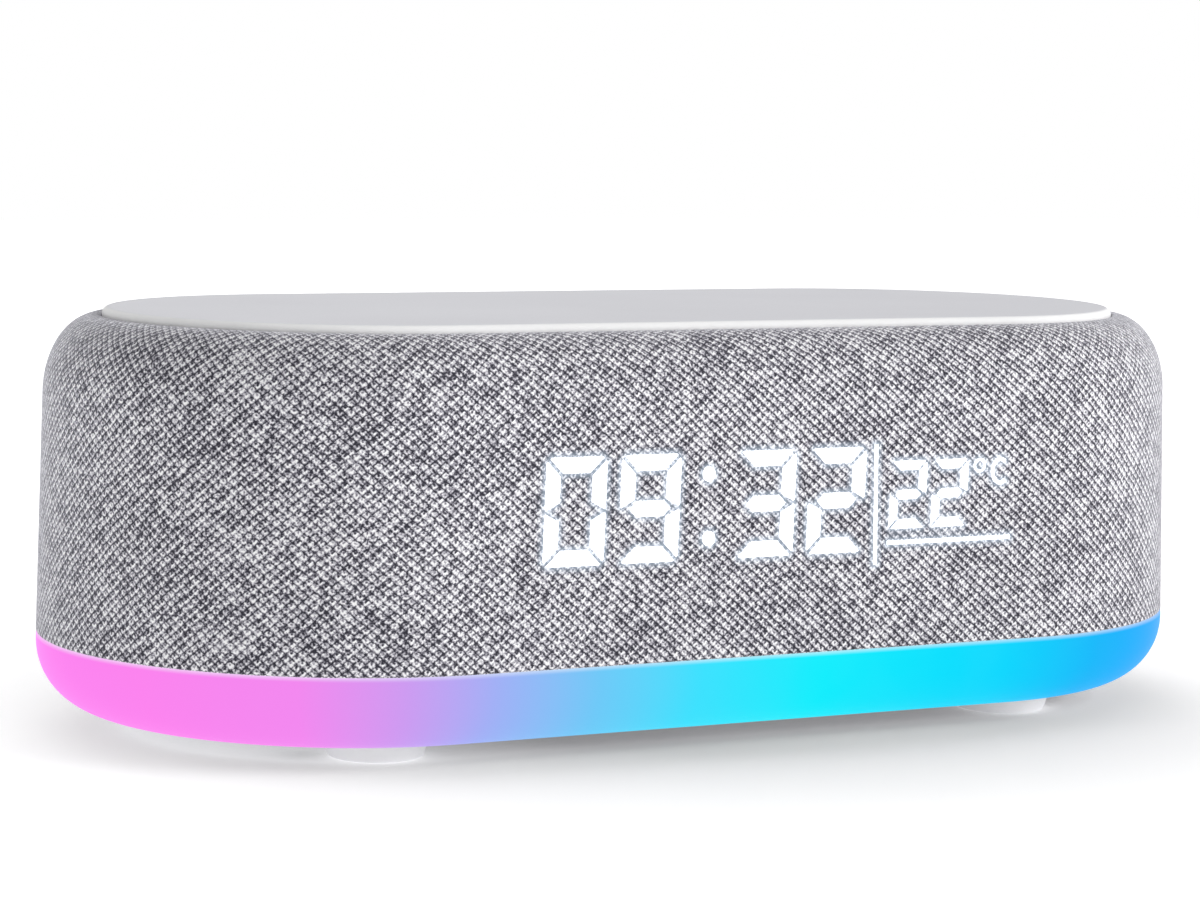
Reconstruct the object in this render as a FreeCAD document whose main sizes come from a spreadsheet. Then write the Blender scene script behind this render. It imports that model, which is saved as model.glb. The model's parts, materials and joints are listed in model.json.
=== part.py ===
import FreeCAD, Part
import Sketcher
import math
import os
import re

# A cloth-covered talking clock with a charging plate, a glowing base band and two end speakers.
# Frame: +Z up, the display faces -Y, +X is to the right of someone who reads the display.
# The origin is the centre of the footprint, on the surface that the feet stand on.

# Driving dimensions in millimetres
SIZES = {
    # Outer form: a stadium in plan
    "body_length": 200.0,
    "body_width": 100.0,
    "foot_height": 3.0,
    "band_height": 12.2,
    "sleeve_height": 50.7,
    "plate_rise": 1.2,
    "side_draft": 1.2,
    "shoulder_radius": 10.0,
    "band_radius": 11.0,
    "plate_inset": 10.2,
    "plate_edge_radius": 1.1,
    # Walls and clearances
    "cloth_thickness": 0.8,
    "glue_gap": 0.1,
    "housing_wall": 2.2,
    "band_wall": 2.0,
    "plate_wall": 1.8,
    "plate_skirt": 2.0,
    "plate_seat_depth": 1.6,
    "fit_gap": 0.3,
    "slip_gap": 0.1,
    "overrun": 1.0,
    "middle_drop": 2.05,
    "hem_width": 2.0,
    # Base cover and the light strip on its rim
    "cover_inset": 12.3,
    "cover_floor": 2.0,
    "lip_inset": 10.7,
    "lip_height": 2.0,
    "rim_inset": 15.3,
    "rim_wall": 1.8,
    "spigot_depth": 2.6,
    "spigot_wall": 1.7,
    "strip_thickness": 0.4,
    "strip_height": 6.8,
    "led_size": 5.0,
    "led_depth": 1.5,
    "led_count": 5,
    # Feet
    "foot_to_column": 10.0,
    "foot_inset": 9.2,
    "foot_bottom_radius": 7.0,
    "foot_top_radius": 7.9,
    "foot_edge": 0.5,
    "foot_stud_radius": 3.0,
    # Screws, as shank and head radii and head height
    "screw_shank": 1.45,
    "screw_head": 2.8,
    "screw_head_height": 2.0,
    "small_shank": 0.95,
    "small_head": 1.9,
    "small_head_height": 1.5,
    # Columns that the base is screwed to
    "column_to_baffle": 18.0,
    "column_radius": 3.5,
    "column_pilot_depth": 9.0,
    "base_boss_radius": 4.2,
    "base_boss_margin": 0.5,
    "base_screw_grip": 8.0,
    # Charging plate fixing and coil
    "plate_screw_reach": 10.0,
    "plate_screw_inset": 19.8,
    "plate_screw_grip": 2.2,
    "plate_boss_radius": 2.8,
    "well_margin": 4.8,
    "well_flange": 3.0,
    "well_depth": 2.8,
    "well_wall": 1.2,
    "ferrite_margin": 2.5,
    "ferrite_thickness": 1.2,
    "coil_margin": 2.0,
    "winding_width": 14.0,
    "coil_thickness": 1.4,
    # Display behind the front of the cloth
    "window_half_width": 48.0,
    "window_half_height": 13.5,
    "filter_set_back": 2.0,
    "filter_thickness": 1.0,
    "block_depth": 7.0,
    "board_thickness": 1.6,
    "display_board_half_width": 56.0,
    "display_board_half_height": 16.7,
    "display_screw_x": 52.0,
    "display_screw_offset": 10.0,
    "display_screw_grip": 5.0,
    "small_boss_radius": 3.0,
    "digit_height": 16.9,
    "digit_width": 10.4,
    "digit_rise": 1.4,
    "digit_pitch": 12.9,
    "digit_slant": 0.7,
    "stroke": 2.8,
    "segment_gap": 0.5,
    "colon_x": -11.8,
    "colon_to_digit": 10.3,
    "colon_dot_radius": 1.3,
    "colon_spread": 5.1,
    "colon_drop": 0.3,
    "rule_x": 18.7,
    "rule_width": 0.9,
    "rule_height": 19.5,
    "rule_drop": 1.6,
    "small_digit_height": 11.2,
    "small_digit_width": 7.0,
    "small_digit_x": 24.6,
    "small_digit_pitch": 7.6,
    "small_digit_rise": 1.2,
    "small_stroke": 1.8,
    "underline_left": 20.8,
    "underline_right": 44.4,
    "underline_drop": 5.9,
    "underline_width": 0.9,
    "degree_x": 38.3,
    "degree_rise": 5.3,
    "degree_radius": 1.4,
    "celsius_left": 40.6,
    "celsius_right": 43.8,
    "celsius_rise": 6.5,
    "celsius_height": 4.8,
    "celsius_stroke": 0.9,
    # Rear panel with its buttons and power inlet
    "panel_radius": 10.0,
    "panel_set_back": 1.0,
    "panel_wall": 2.0,
    "panel_depth": 4.2,
    "panel_flange": 4.0,
    "panel_flange_thickness": 1.8,
    "panel_pocket_radius": 8.0,
    "panel_screw_offset": 12.2,
    "panel_screw_grip": 3.0,
    "frame_margin": 5.0,
    "button_pitch": 12.0,
    "button_radius": 4.0,
    "button_rise": 0.8,
    "button_dish": 0.35,
    "button_flange_radius": 5.2,
    "button_flange_thickness": 0.8,
    "button_stem_radius": 2.0,
    "switch_height": 3.5,
    "switch_width": 6.0,
    "plunger_radius": 1.7,
    "plunger_rise": 1.1,
    "plunger_sunk": 0.9,
    "rear_board_gap": 3.4,
    "rear_screw_grip": 3.6,
    "rear_board_reach": 9.5,
    "rear_board_half_height": 12.7,
    "standoff_reach": 5.0,
    "standoff_rise": 10.4,
    "standoff_radius": 2.0,
    "inlet_offset": 10.0,
    "inlet_margin": 4.0,
    "inlet_half_span": 2.84,
    "inlet_radius": 1.63,
    "inlet_wall": 0.35,
    "inlet_depth": 6.5,
    "tongue_half_width": 3.35,
    "tongue_thickness": 0.7,
    "tongue_length": 5.2,
    "vent_offset": 10.0,
    "vent_radius": 1.0,
    "sensor_radius": 1.2,
    # Main board over the base cover
    "main_board_half_length": 46.0,
    "main_board_margin": 4.9,
    "main_board_bottom": 20.0,
    "main_screw_end_inset": 6.0,
    "main_screw_side_inset": 4.0,
    "main_screw_grip": 5.0,
    "module_x": -20.0,
    "module_length": 25.0,
    "module_width": 18.0,
    "module_height": 2.8,
    "holder_x": 20.0,
    "holder_length": 25.0,
    "holder_width": 21.6,
    "holder_height": 4.4,
    "cell_radius": 10.0,
    "cell_thickness": 3.2,
    "cell_edge": 0.4,
    "holder_floor": 0.6,
    "ribbon_half_width": 8.0,
    "ribbon_thickness": 0.4,
    "ribbon_inset": 2.0,
    "ribbon_rise": 3.0,
    # End speakers, measured along their axis from the baffle's inner face
    "baffle_inset": 14.0,
    "baffle_thickness": 2.5,
    "baffle_lip": 5.0,
    "driver_flange": 1.6,
    "driver_depth": 20.0,
    "frame_back": 11.0,
    "frame_taper": 8.0,
    "frame_wall": 0.6,
    "frame_floor": 0.8,
    "frame_corner": 1.2,
    "magnet_land": 2.0,
    "magnet_depth": 8.0,
    "magnet_floor": 2.5,
    "coil_tube_radius": 6.5,
    "coil_tube_wall": 0.5,
    "pole_gap": 0.35,
    "coil_end_gap": 2.0,
    "cone_set_back": 1.6,
    "cone_depth": 5.2,
    "cone_wall": 0.7,
    "dome_rise": 1.0,
    "bond_gap": 0.2,
    "surround_width": 4.4,
    "surround_bead": 1.4,
    "surround_wall": 0.5,
    "surround_seat": 1.0,
    "surround_rim": 1.2,
    "driver_screw_inset": 2.0,
    "driver_screw_length": 3.4,
    # Slots through the end walls, under the cloth
    "slot_count": 7,
    "slot_pitch": 4.6,
    "slot_radius": 1.1,
    "slot_half_span": 15.0,
}

BUTTON_NAMES = ("talk", "alarm", "minus", "plus", "light")
SIDES = {"left": -1, "right": 1}

doc = FreeCAD.newDocument("TalkingClock")
sheet = doc.addObject("Spreadsheet::Sheet", "Sizes")
for row, (alias, number) in enumerate(SIZES.items(), start=1):
    sheet.set("A%d" % row, str(number))
    sheet.setAlias("A%d" % row, alias)
doc.recompute()

# Places that follow from the driving dimensions
END_RADIUS = "(body_width / 2)"
END_CENTRE = "((body_length - body_width) / 2)"
BAND_TOP = "(foot_height + band_height)"
CLOTH_TOP = f"({BAND_TOP} + sleeve_height)"
PLATE_TOP = f"({CLOTH_TOP} + plate_rise)"
MIDDLE = f"({BAND_TOP} + sleeve_height / 2 - middle_drop)"
HEM_BOTTOM = f"({BAND_TOP} + glue_gap)"
COVERING = "(cloth_thickness + glue_gap)"
HOUSING_BOTTOM = f"({HEM_BOTTOM} + {COVERING})"
HOUSING_TOP = f"({CLOTH_TOP} - {COVERING})"
HOUSING_RADIUS = f"({END_RADIUS} - {COVERING})"
INNER_RADIUS = f"({HOUSING_RADIUS} - housing_wall)"
PLATE_RADIUS = f"({END_RADIUS} - plate_inset)"
HEM_RADIUS = f"({PLATE_RADIUS} + 2 * slip_gap)"
SEAT_RADIUS = f"({HEM_RADIUS} + {COVERING})"
SEAT_HEIGHT = f"({HOUSING_TOP} - plate_seat_depth)"
CEILING = f"({SEAT_HEIGHT} - housing_wall)"
BAND_ROUND = "min(band_radius; band_height - slip_gap)"
BAND_INNER_RADIUS = f"({END_RADIUS} - band_wall)"
COVER_RADIUS = f"({END_RADIUS} - cover_inset)"
COVER_TOP = "(foot_height + cover_floor)"
RIM_RADIUS = f"({END_RADIUS} - rim_inset)"
RIM_TOP = f"({HOUSING_BOTTOM} - fit_gap)"
STRIP_MIDDLE = f"(({COVER_TOP} + lip_height + {RIM_TOP}) / 2)"
BAFFLE_X = "(body_length / 2 - baffle_inset)"
COLUMN_X = f"({BAFFLE_X} - column_to_baffle)"
COLUMN_REACH = f"({RIM_RADIUS} - base_boss_radius - base_boss_margin)"
COLUMN_Y = f"sqrt({COLUMN_REACH}^2 - max(0; {COLUMN_X} - {END_CENTRE})^2)"
FOOT_X = f"({COLUMN_X} - foot_to_column)"
FOOT_Y = f"({COVER_RADIUS} - foot_inset)"
PLATE_SCREW_X = f"({END_CENTRE} + plate_screw_reach)"
PLATE_SCREW_Y = f"({PLATE_RADIUS} - plate_screw_inset)"
WELL_RADIUS = f"({PLATE_RADIUS} - plate_skirt - well_flange - well_margin)"
FERRITE_RADIUS = f"({WELL_RADIUS} - fit_gap - well_wall - ferrite_margin)"
COIL_RADIUS = f"({FERRITE_RADIUS} - coil_margin)"
COIL_BORE = f"({COIL_RADIUS} - winding_width)"
WINDOW_BOTTOM = f"({MIDDLE} - window_half_height)"
WINDOW_TOP = f"({MIDDLE} + window_half_height)"
FILTER_FRONT = f"(filter_set_back - sqrt({END_RADIUS}^2 - max(0; window_half_width - {END_CENTRE})^2))"
FILTER_BACK = f"({FILTER_FRONT} + filter_thickness)"
BLOCK_BACK = f"({FILTER_BACK} + block_depth)"
DISPLAY_BOARD_BACK = f"({BLOCK_BACK} + board_thickness)"
BOSS_FRONT = (f"(side_draft + slip_gap - sqrt({HOUSING_RADIUS}^2"
              f" - max(0; display_screw_x + small_boss_radius - {END_CENTRE})^2))")
BUTTON_ROW = f"({len(BUTTON_NAMES) - 1} * button_pitch)"
PANEL_HALF_SPAN = f"(({BUTTON_ROW} + vent_offset + inlet_offset + inlet_margin) / 2)"
VENT_X = f"({BUTTON_ROW} + vent_offset - {PANEL_HALF_SPAN})"
INLET_X = f"({VENT_X} + inlet_offset)"
BUTTON_FLANGE_RADIUS = "min(button_flange_radius; (button_pitch - fit_gap) / 2)"
FLANGE_END = f"({PANEL_HALF_SPAN} + panel_radius + panel_flange)"
FRAME_END = f"({PANEL_HALF_SPAN} + panel_radius + frame_margin)"
PANEL_FACE = f"(sqrt({END_RADIUS}^2 - max(0; {FLANGE_END} - {END_CENTRE})^2) - panel_set_back)"
FRAME_FRONT = f"(sqrt({HOUSING_RADIUS}^2 - max(0; {FRAME_END} - {END_CENTRE})^2) - side_draft - slip_gap)"
PANEL_SEAT = f"({PANEL_FACE} - panel_depth)"
PANEL_BACK = f"({PANEL_SEAT} - panel_flange_thickness)"
BUTTON_FLANGE_FRONT = f"({PANEL_FACE} - panel_wall - fit_gap)"
BUTTON_FLANGE_BACK = f"({BUTTON_FLANGE_FRONT} - button_flange_thickness)"
REAR_BOARD_FRONT = f"({PANEL_BACK} - rear_board_gap)"
REAR_BOARD_BACK = f"({REAR_BOARD_FRONT} - board_thickness)"
SWITCH_FRONT = f"({REAR_BOARD_FRONT} + switch_height)"
PLUNGER_FRONT = f"({SWITCH_FRONT} + plunger_rise)"
MAIN_HALF_WIDTH = f"({RIM_RADIUS} - rim_wall - main_board_margin)"
MAIN_SCREW_X = "(main_board_half_length - main_screw_end_inset)"
MAIN_SCREW_Y = f"({MAIN_HALF_WIDTH} - main_screw_side_inset)"
MAIN_BOARD_TOP = "(main_board_bottom + board_thickness)"
CELL_HEIGHT = f"({MAIN_BOARD_TOP} + holder_floor)"
DRIVER_RADIUS = f"(min({CEILING} - {MIDDLE}; {MIDDLE} - {HOUSING_BOTTOM}) - fit_gap)"
BORE_RADIUS = f"({DRIVER_RADIUS} - baffle_lip)"
FRAME_BACK_RADIUS = f"({DRIVER_RADIUS} - frame_taper)"
CONE_RADIUS = f"({BORE_RADIUS} - surround_width)"
DRIVER_SCREW_RADIUS = f"({DRIVER_RADIUS} - driver_screw_inset)"
SMALL_PILOT = "small_shank + slip_gap / 2"
SMALL_HOLE = "small_shank + fit_gap"
QUADRANTS = ((-1, -1), (1, -1), (-1, 1), (1, 1))

# How the world's axes lie in each origin plane: a point's order, and the direction of the normal
PLANES = {"XY": (lambda x, y, z: (x, y, z), 1),
          "XZ": (lambda x, y, z: (x, z, f"-({y})"), -1),
          "YZ": (lambda x, y, z: (y, z, x), 1)}

sub_parts = []


def qualify(expression):
    """Put the spreadsheet's name before each of its aliases."""
    return re.sub(r"[a-z]\w*", lambda word: "Sizes." + word[0] if word[0] in SIZES else word[0], expression)


def value(expression):
    """Work out an expression of the spreadsheet's aliases."""
    return float(sheet.evalExpression(expression))


def bind(thing, **properties):
    """Tie properties of an object to expressions; a double underscore stands for a dot."""
    for name, expression in properties.items():
        thing.setExpression(name.replace("__", "."), qualify(expression))


def keep(thing, label):
    """Name a finished sub-part and list it for writing."""
    thing.Label = label
    sub_parts.append(thing)
    return thing


class Drawing:
    """A sketch on one of a body's origin planes, whose every size follows the spreadsheet."""

    def __init__(self, body, plane, along, centre=("0", "0")):
        order, sign = PLANES[plane]
        self.sketch = body.newObject("Sketcher::SketchObject", body.Name + "_outline")
        flat = [item for item in body.Origin.OriginFeatures if item.Role == plane + "_Plane"][0]
        self.sketch.AttachmentSupport = [(flat, "")]
        self.sketch.MapMode = "FlatFace"
        bind(self.sketch, AttachmentOffset__Base__x=centre[0], AttachmentOffset__Base__y=centre[1],
             AttachmentOffset__Base__z=along if sign > 0 else f"-({along})")

    def size(self, kind, places, expression):
        index = self.sketch.addConstraint(Sketcher.Constraint(kind, *places, value(expression)))
        self.sketch.setExpression("Constraints[%d]" % index, qualify(expression))

    def point(self, item, end, x, y):
        self.size("DistanceX", (-1, 1, item, end), x)
        self.size("DistanceY", (-1, 1, item, end), y)

    def polygon(self, *corners):
        first = self.sketch.GeometryCount
        spots = [FreeCAD.Vector(value(x), value(y), 0) for x, y in corners]
        for start, end in zip(spots, spots[1:] + spots[:1]):
            self.sketch.addGeometry(Part.LineSegment(start, end), False)
        for index, (x, y) in enumerate(corners):
            following = first + (index + 1) % len(corners)
            self.sketch.addConstraint(Sketcher.Constraint("Coincident", first + index, 2, following, 1))
            self.point(first + index, 1, x, y)
        return self

    def rectangle(self, left, right, low, high):
        return self.polygon((left, low), (right, low), (right, high), (left, high))

    def circle(self, x, y, radius):
        centre = FreeCAD.Vector(value(x), value(y), 0)
        item = self.sketch.addGeometry(Part.Circle(centre, FreeCAD.Vector(0, 0, 1), value(radius)), False)
        self.point(item, 3, x, y)
        self.size("Radius", (item,), radius)
        return self

    def stadium(self, x, y, half_span, radius):
        """Two half circles joined by straight sides; half_span is from the middle to a circle's centre."""
        first = self.sketch.GeometryCount
        across, up, half, round_size = value(x), value(y), value(half_span), value(radius)
        right, left = FreeCAD.Vector(across + half, up, 0), FreeCAD.Vector(across - half, up, 0)
        rise = FreeCAD.Vector(0, round_size, 0)
        normal = FreeCAD.Vector(0, 0, 1)
        quarter = math.pi / 2
        self.sketch.addGeometry([
            Part.ArcOfCircle(Part.Circle(right, normal, round_size), -quarter, quarter),
            Part.LineSegment(right + rise, left + rise),
            Part.ArcOfCircle(Part.Circle(left, normal, round_size), quarter, 3 * quarter),
            Part.LineSegment(left - rise, right - rise)], False)
        for step in range(4):
            joint = (first + step, 2, first + (step + 1) % 4, 1)
            self.sketch.addConstraint(Sketcher.Constraint("Tangent", *joint))
        self.sketch.addConstraint(Sketcher.Constraint("Horizontal", first + 1))
        self.point(first, 3, f"({x}) + ({half_span})", y)
        self.point(first + 2, 3, f"({x}) - ({half_span})", y)
        self.size("Radius", (first,), radius)
        return self


def new_body(name):
    return doc.addObject("PartDesign::Body", name)


def extrude(body, plane, low, high, draw, remove=False, taper=None):
    """Add, or remove, an outline between two coordinates along the plane's world axis."""
    sign = PLANES[plane][1]
    from_high = (sign < 0) != remove
    drawing = Drawing(body, plane, high if from_high else low)
    draw(drawing)
    feature = body.newObject("PartDesign::Pocket" if remove else "PartDesign::Pad", body.Name + "_step")
    feature.Profile = drawing.sketch
    bind(feature, Length=f"({high}) - ({low})")
    if taper:
        bind(feature, TaperAngle=taper)
    drawing.sketch.Visibility = False
    return feature


def turn(name, axis, centre, points, body=None, remove=False):
    """Turn a profile of (place along the axis, radius) about an axis through a centre."""
    body = body or new_body(name)
    x, y, z = centre
    if axis == "Z":
        drawing = Drawing(body, "XZ", y, (x, z))
        points = [(radius, along) for along, radius in points]
    elif axis == "X":
        drawing = Drawing(body, "XZ", y, (x, z))
    else:
        drawing = Drawing(body, "YZ", x, (y, z))
    drawing.polygon(*points)
    kind = "PartDesign::Groove" if remove else "PartDesign::Revolution"
    feature = body.newObject(kind, name + "_turn")
    feature.Profile = drawing.sketch
    feature.ReferenceAxis = (drawing.sketch, ["V_Axis" if axis == "Z" else "H_Axis"])
    feature.Angle = 360
    drawing.sketch.Visibility = False
    return body


def rounded(body, radius, height):
    """Round the edges of a body that lie flat at a height."""
    doc.recompute()
    base = body.Tip
    level = value(height)
    names = ["Edge%d" % index for index, edge in enumerate(base.Shape.Edges, start=1)
             if abs(edge.BoundBox.ZMin - level) < 0.001 and abs(edge.BoundBox.ZMax - level) < 0.001]
    feature = body.newObject("PartDesign::Fillet", body.Name + "_round")
    feature.Base = (base, names)
    bind(feature, Radius=radius)
    return body


def prism(name, plane, low, high, draw):
    body = new_body(name)
    extrude(body, plane, low, high, draw)
    return body


def block(name, x, y, z):
    """A box between pairs of coordinates."""
    box = doc.addObject("Part::Box", name)
    bind(box, Length=f"({x[1]}) - ({x[0]})", Width=f"({y[1]}) - ({y[0]})", Height=f"({z[1]}) - ({z[0]})",
         Placement__Base__x=x[0], Placement__Base__y=y[0], Placement__Base__z=z[0])
    return box


def gather(name, pieces):
    group = doc.addObject("Part::Compound", name)
    group.Links = pieces
    return group


def join(name, pieces):
    fused = doc.addObject("Part::MultiFuse", name)
    fused.Shapes = pieces
    fused.Refine = True
    return fused


def cut(name, base, tool):
    result = doc.addObject("Part::Cut", name)
    result.Base = base
    result.Tool = tool
    return result


def stadium_form(name, radius, low, high, corner, taper=None, round_at="high"):
    """A closed stadium solid about the origin with one rounded rim."""
    body = new_body(name)
    extrude(body, "XY", low, high, lambda draw: draw.stadium("0", "0", END_CENTRE, radius), taper=taper)
    return rounded(body, corner, high if round_at == "high" else low)


def stadium_ring(body, outer, inner, low, high):
    """Add a stadium ring to a body."""
    return extrude(body, "XY", low, high, lambda draw: draw.stadium("0", "0", END_CENTRE, outer)
                   .stadium("0", "0", END_CENTRE, inner))


def screw(name, axis, head, centre, length, shank="small_shank", cap="small_head",
          cap_height="small_head_height"):
    """A screw whose head is seated at a place on its axis; head is +1 where it points up the axis."""
    rise = f"{head} * {cap_height}"
    reach = f"{-head} * ({length})"
    points = [(reach, "0"), (reach, shank), ("0", shank), ("0", cap), (rise, cap), (rise, "0")]
    return turn(name, axis, centre, points)


def four_circles(draw, x, y, radius):
    """A circle in each quadrant, at the same distance from both axes."""
    for across, along in QUADRANTS:
        draw.circle(f"{across} * {x}", f"{along} * {y}", radius)


def sorted_pair(first, second, sign):
    """Give two coordinates with the lower one first."""
    return (first, second) if sign > 0 else (second, first)


def centred(count):
    """Whole steps either side of the middle of a row."""
    return [step - (count - 1) / 2 for step in range(count)]


DRAFT = "-atan(side_draft / sleeve_height)"


def make_sleeve():
    """The knitted cover: drafted wall, rolled shoulder, a hem under the wall and one beside the plate."""
    outer = stadium_form("sleeve_outer", END_RADIUS, HEM_BOTTOM, CLOTH_TOP, "shoulder_radius", DRAFT)
    inner = stadium_form("sleeve_inner", f"{END_RADIUS} - cloth_thickness", f"{HEM_BOTTOM} + cloth_thickness",
                         f"{CLOTH_TOP} - cloth_thickness", "shoulder_radius - cloth_thickness", DRAFT)
    skin = cut("sleeve_skin", outer, inner)
    openings = gather("sleeve_openings", [
        prism("hem_opening", "XY", f"{HEM_BOTTOM} - overrun", f"{HEM_BOTTOM} + 2 * cloth_thickness",
              lambda draw: draw.stadium("0", "0", END_CENTRE, f"{END_RADIUS} - hem_width")),
        prism("plate_opening", "XY", f"{CLOTH_TOP} - 3 * cloth_thickness", f"{CLOTH_TOP} + overrun",
              lambda draw: draw.stadium("0", "0", END_CENTRE, HEM_RADIUS)),
        prism("panel_opening", "XZ", "0", f"{END_RADIUS} + overrun", lambda draw: draw.stadium(
            "0", MIDDLE, PANEL_HALF_SPAN, "panel_radius + fit_gap"))])
    hem = new_body("plate_hem")
    stadium_ring(hem, f"{HEM_RADIUS} + cloth_thickness", HEM_RADIUS, f"{SEAT_HEIGHT} + slip_gap",
                 f"{CLOTH_TOP} - cloth_thickness")
    keep(join("sleeve", [cut("opened_skin", skin, openings), hem]), "fabric_sleeve")


def make_housing():
    """The moulded housing under the cloth, with its baffles, seat, columns, openings and end grilles."""
    form = stadium_form("housing_form", HOUSING_RADIUS, HOUSING_BOTTOM, HOUSING_TOP,
                        f"shoulder_radius - {COVERING}", DRAFT)
    hollow = stadium_form("housing_hollow", INNER_RADIUS, f"{HOUSING_BOTTOM} - housing_wall", CEILING,
                          f"shoulder_radius - {COVERING} - housing_wall", DRAFT)
    baffles = [block(side + "_baffle",
                     sorted_pair(f"{sign} * {BAFFLE_X}", f"{sign} * ({BAFFLE_X} + baffle_thickness)", sign),
                     (f"-{END_RADIUS}", END_RADIUS), ("0", CLOTH_TOP)) for side, sign in SIDES.items()]
    chambers = cut("chambers", hollow, gather("baffles", baffles))
    shell = cut("housing_shell", form, chambers)

    spigot = new_body("band_spigot")
    stadium_ring(spigot, f"{BAND_INNER_RADIUS} - fit_gap", f"{BAND_INNER_RADIUS} - fit_gap - spigot_wall",
                 f"{HOUSING_BOTTOM} - spigot_depth", f"{HOUSING_BOTTOM} + housing_wall")
    columns = prism("base_columns", "XY", HOUSING_BOTTOM, f"{CEILING} + overrun",
                    lambda draw: four_circles(draw, COLUMN_X, COLUMN_Y, "column_radius"))
    display_bosses = prism("display_bosses", "XZ", BOSS_FRONT, BLOCK_BACK, lambda draw: [
        draw.circle(x, z, "small_boss_radius") for x, z in display_screw_places()])
    panel_frame = prism("panel_frame", "XZ", PANEL_SEAT, FRAME_FRONT, lambda draw: draw.stadium(
        "0", MIDDLE, PANEL_HALF_SPAN, "panel_radius + frame_margin"))
    solid = join("housing_solid", [shell, spigot, columns, display_bosses, panel_frame])

    slots = [prism(side + "_grille", "YZ", *sorted_pair(
        f"{sign} * ({BAFFLE_X} + baffle_thickness)", f"{sign} * (body_length / 2)", sign), lambda draw: [
            draw.stadium("0", f"{MIDDLE} + {step} * slot_pitch", "slot_half_span", "slot_radius")
            for step in centred(int(value("slot_count")))]) for side, sign in SIDES.items()]
    bores = [prism(side + "_bore", "YZ", *sorted_pair(
        f"{sign} * ({BAFFLE_X} - overrun)", f"{sign} * ({BAFFLE_X} + baffle_thickness + overrun)", sign),
        lambda draw: draw.circle("0", MIDDLE, BORE_RADIUS)) for side, sign in SIDES.items()]
    openings = gather("housing_openings", slots + bores + [
        prism("plate_seat", "XY", SEAT_HEIGHT, f"{HOUSING_TOP} + overrun",
              lambda draw: draw.stadium("0", "0", END_CENTRE, SEAT_RADIUS)),
        prism("coil_well", "XY", f"{CEILING} - overrun", SEAT_HEIGHT,
              lambda draw: draw.circle("0", "0", WELL_RADIUS)),
        prism("display_window", "XZ", f"-{END_RADIUS}", f"{BLOCK_BACK} - slip_gap",
              lambda draw: draw.rectangle("-window_half_width", "window_half_width", WINDOW_BOTTOM, WINDOW_TOP)),
        prism("panel_hole", "XZ", f"{PANEL_SEAT} - overrun", f"{END_RADIUS} + overrun",
              lambda draw: draw.stadium("0", MIDDLE, PANEL_HALF_SPAN, "panel_radius + fit_gap")),
        prism("base_pilots", "XY", f"{HOUSING_BOTTOM} - overrun", f"{HOUSING_BOTTOM} + column_pilot_depth",
              lambda draw: four_circles(draw, COLUMN_X, COLUMN_Y, "screw_shank + slip_gap / 2")),
        prism("plate_screw_holes", "XY", f"{CEILING} - overrun", SEAT_HEIGHT,
              lambda draw: four_circles(draw, PLATE_SCREW_X, PLATE_SCREW_Y, SMALL_HOLE)),
        prism("display_pilots", "XZ", f"{BLOCK_BACK} - display_screw_grip - fit_gap", f"{BLOCK_BACK} + overrun",
              lambda draw: [draw.circle(x, z, SMALL_PILOT) for x, z in display_screw_places()]),
        prism("panel_pilots", "XZ", f"{PANEL_SEAT} - overrun", f"{PANEL_SEAT} + panel_screw_grip + fit_gap",
              lambda draw: [draw.circle(x, z, SMALL_PILOT) for x, z in panel_screw_places()]),
    ] + [driver_pilots(side, sign) for side, sign in SIDES.items()])
    keep(cut("housing", solid, openings), "main_housing")


def display_screw_places():
    return [(f"{across} * display_screw_x", f"{MIDDLE} + {up} * display_screw_offset")
            for across, up in QUADRANTS]


def panel_screw_places():
    reach = "panel_screw_offset"
    return [(f"-{PANEL_HALF_SPAN} - {reach}", MIDDLE), (f"{PANEL_HALF_SPAN} + {reach}", MIDDLE),
            ("0", f"{MIDDLE} - {reach}"), ("0", f"{MIDDLE} + {reach}")]


def driver_screw_places():
    """Four places round a driver's flange, as across and height."""
    return [(f"{DRIVER_SCREW_RADIUS} * cos({angle} deg)",
             f"{MIDDLE} + {DRIVER_SCREW_RADIUS} * sin({angle} deg)") for angle in (45, 135, 225, 315)]


def driver_pilots(side, sign):
    low, high = sorted_pair(f"{sign} * ({BAFFLE_X} - overrun)",
                            f"{sign} * ({BAFFLE_X} + driver_screw_length - driver_flange)", sign)
    return prism(side + "_driver_pilots", "YZ", low, high, lambda draw: [
        draw.circle(y, z, SMALL_PILOT) for y, z in driver_screw_places()])


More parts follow.
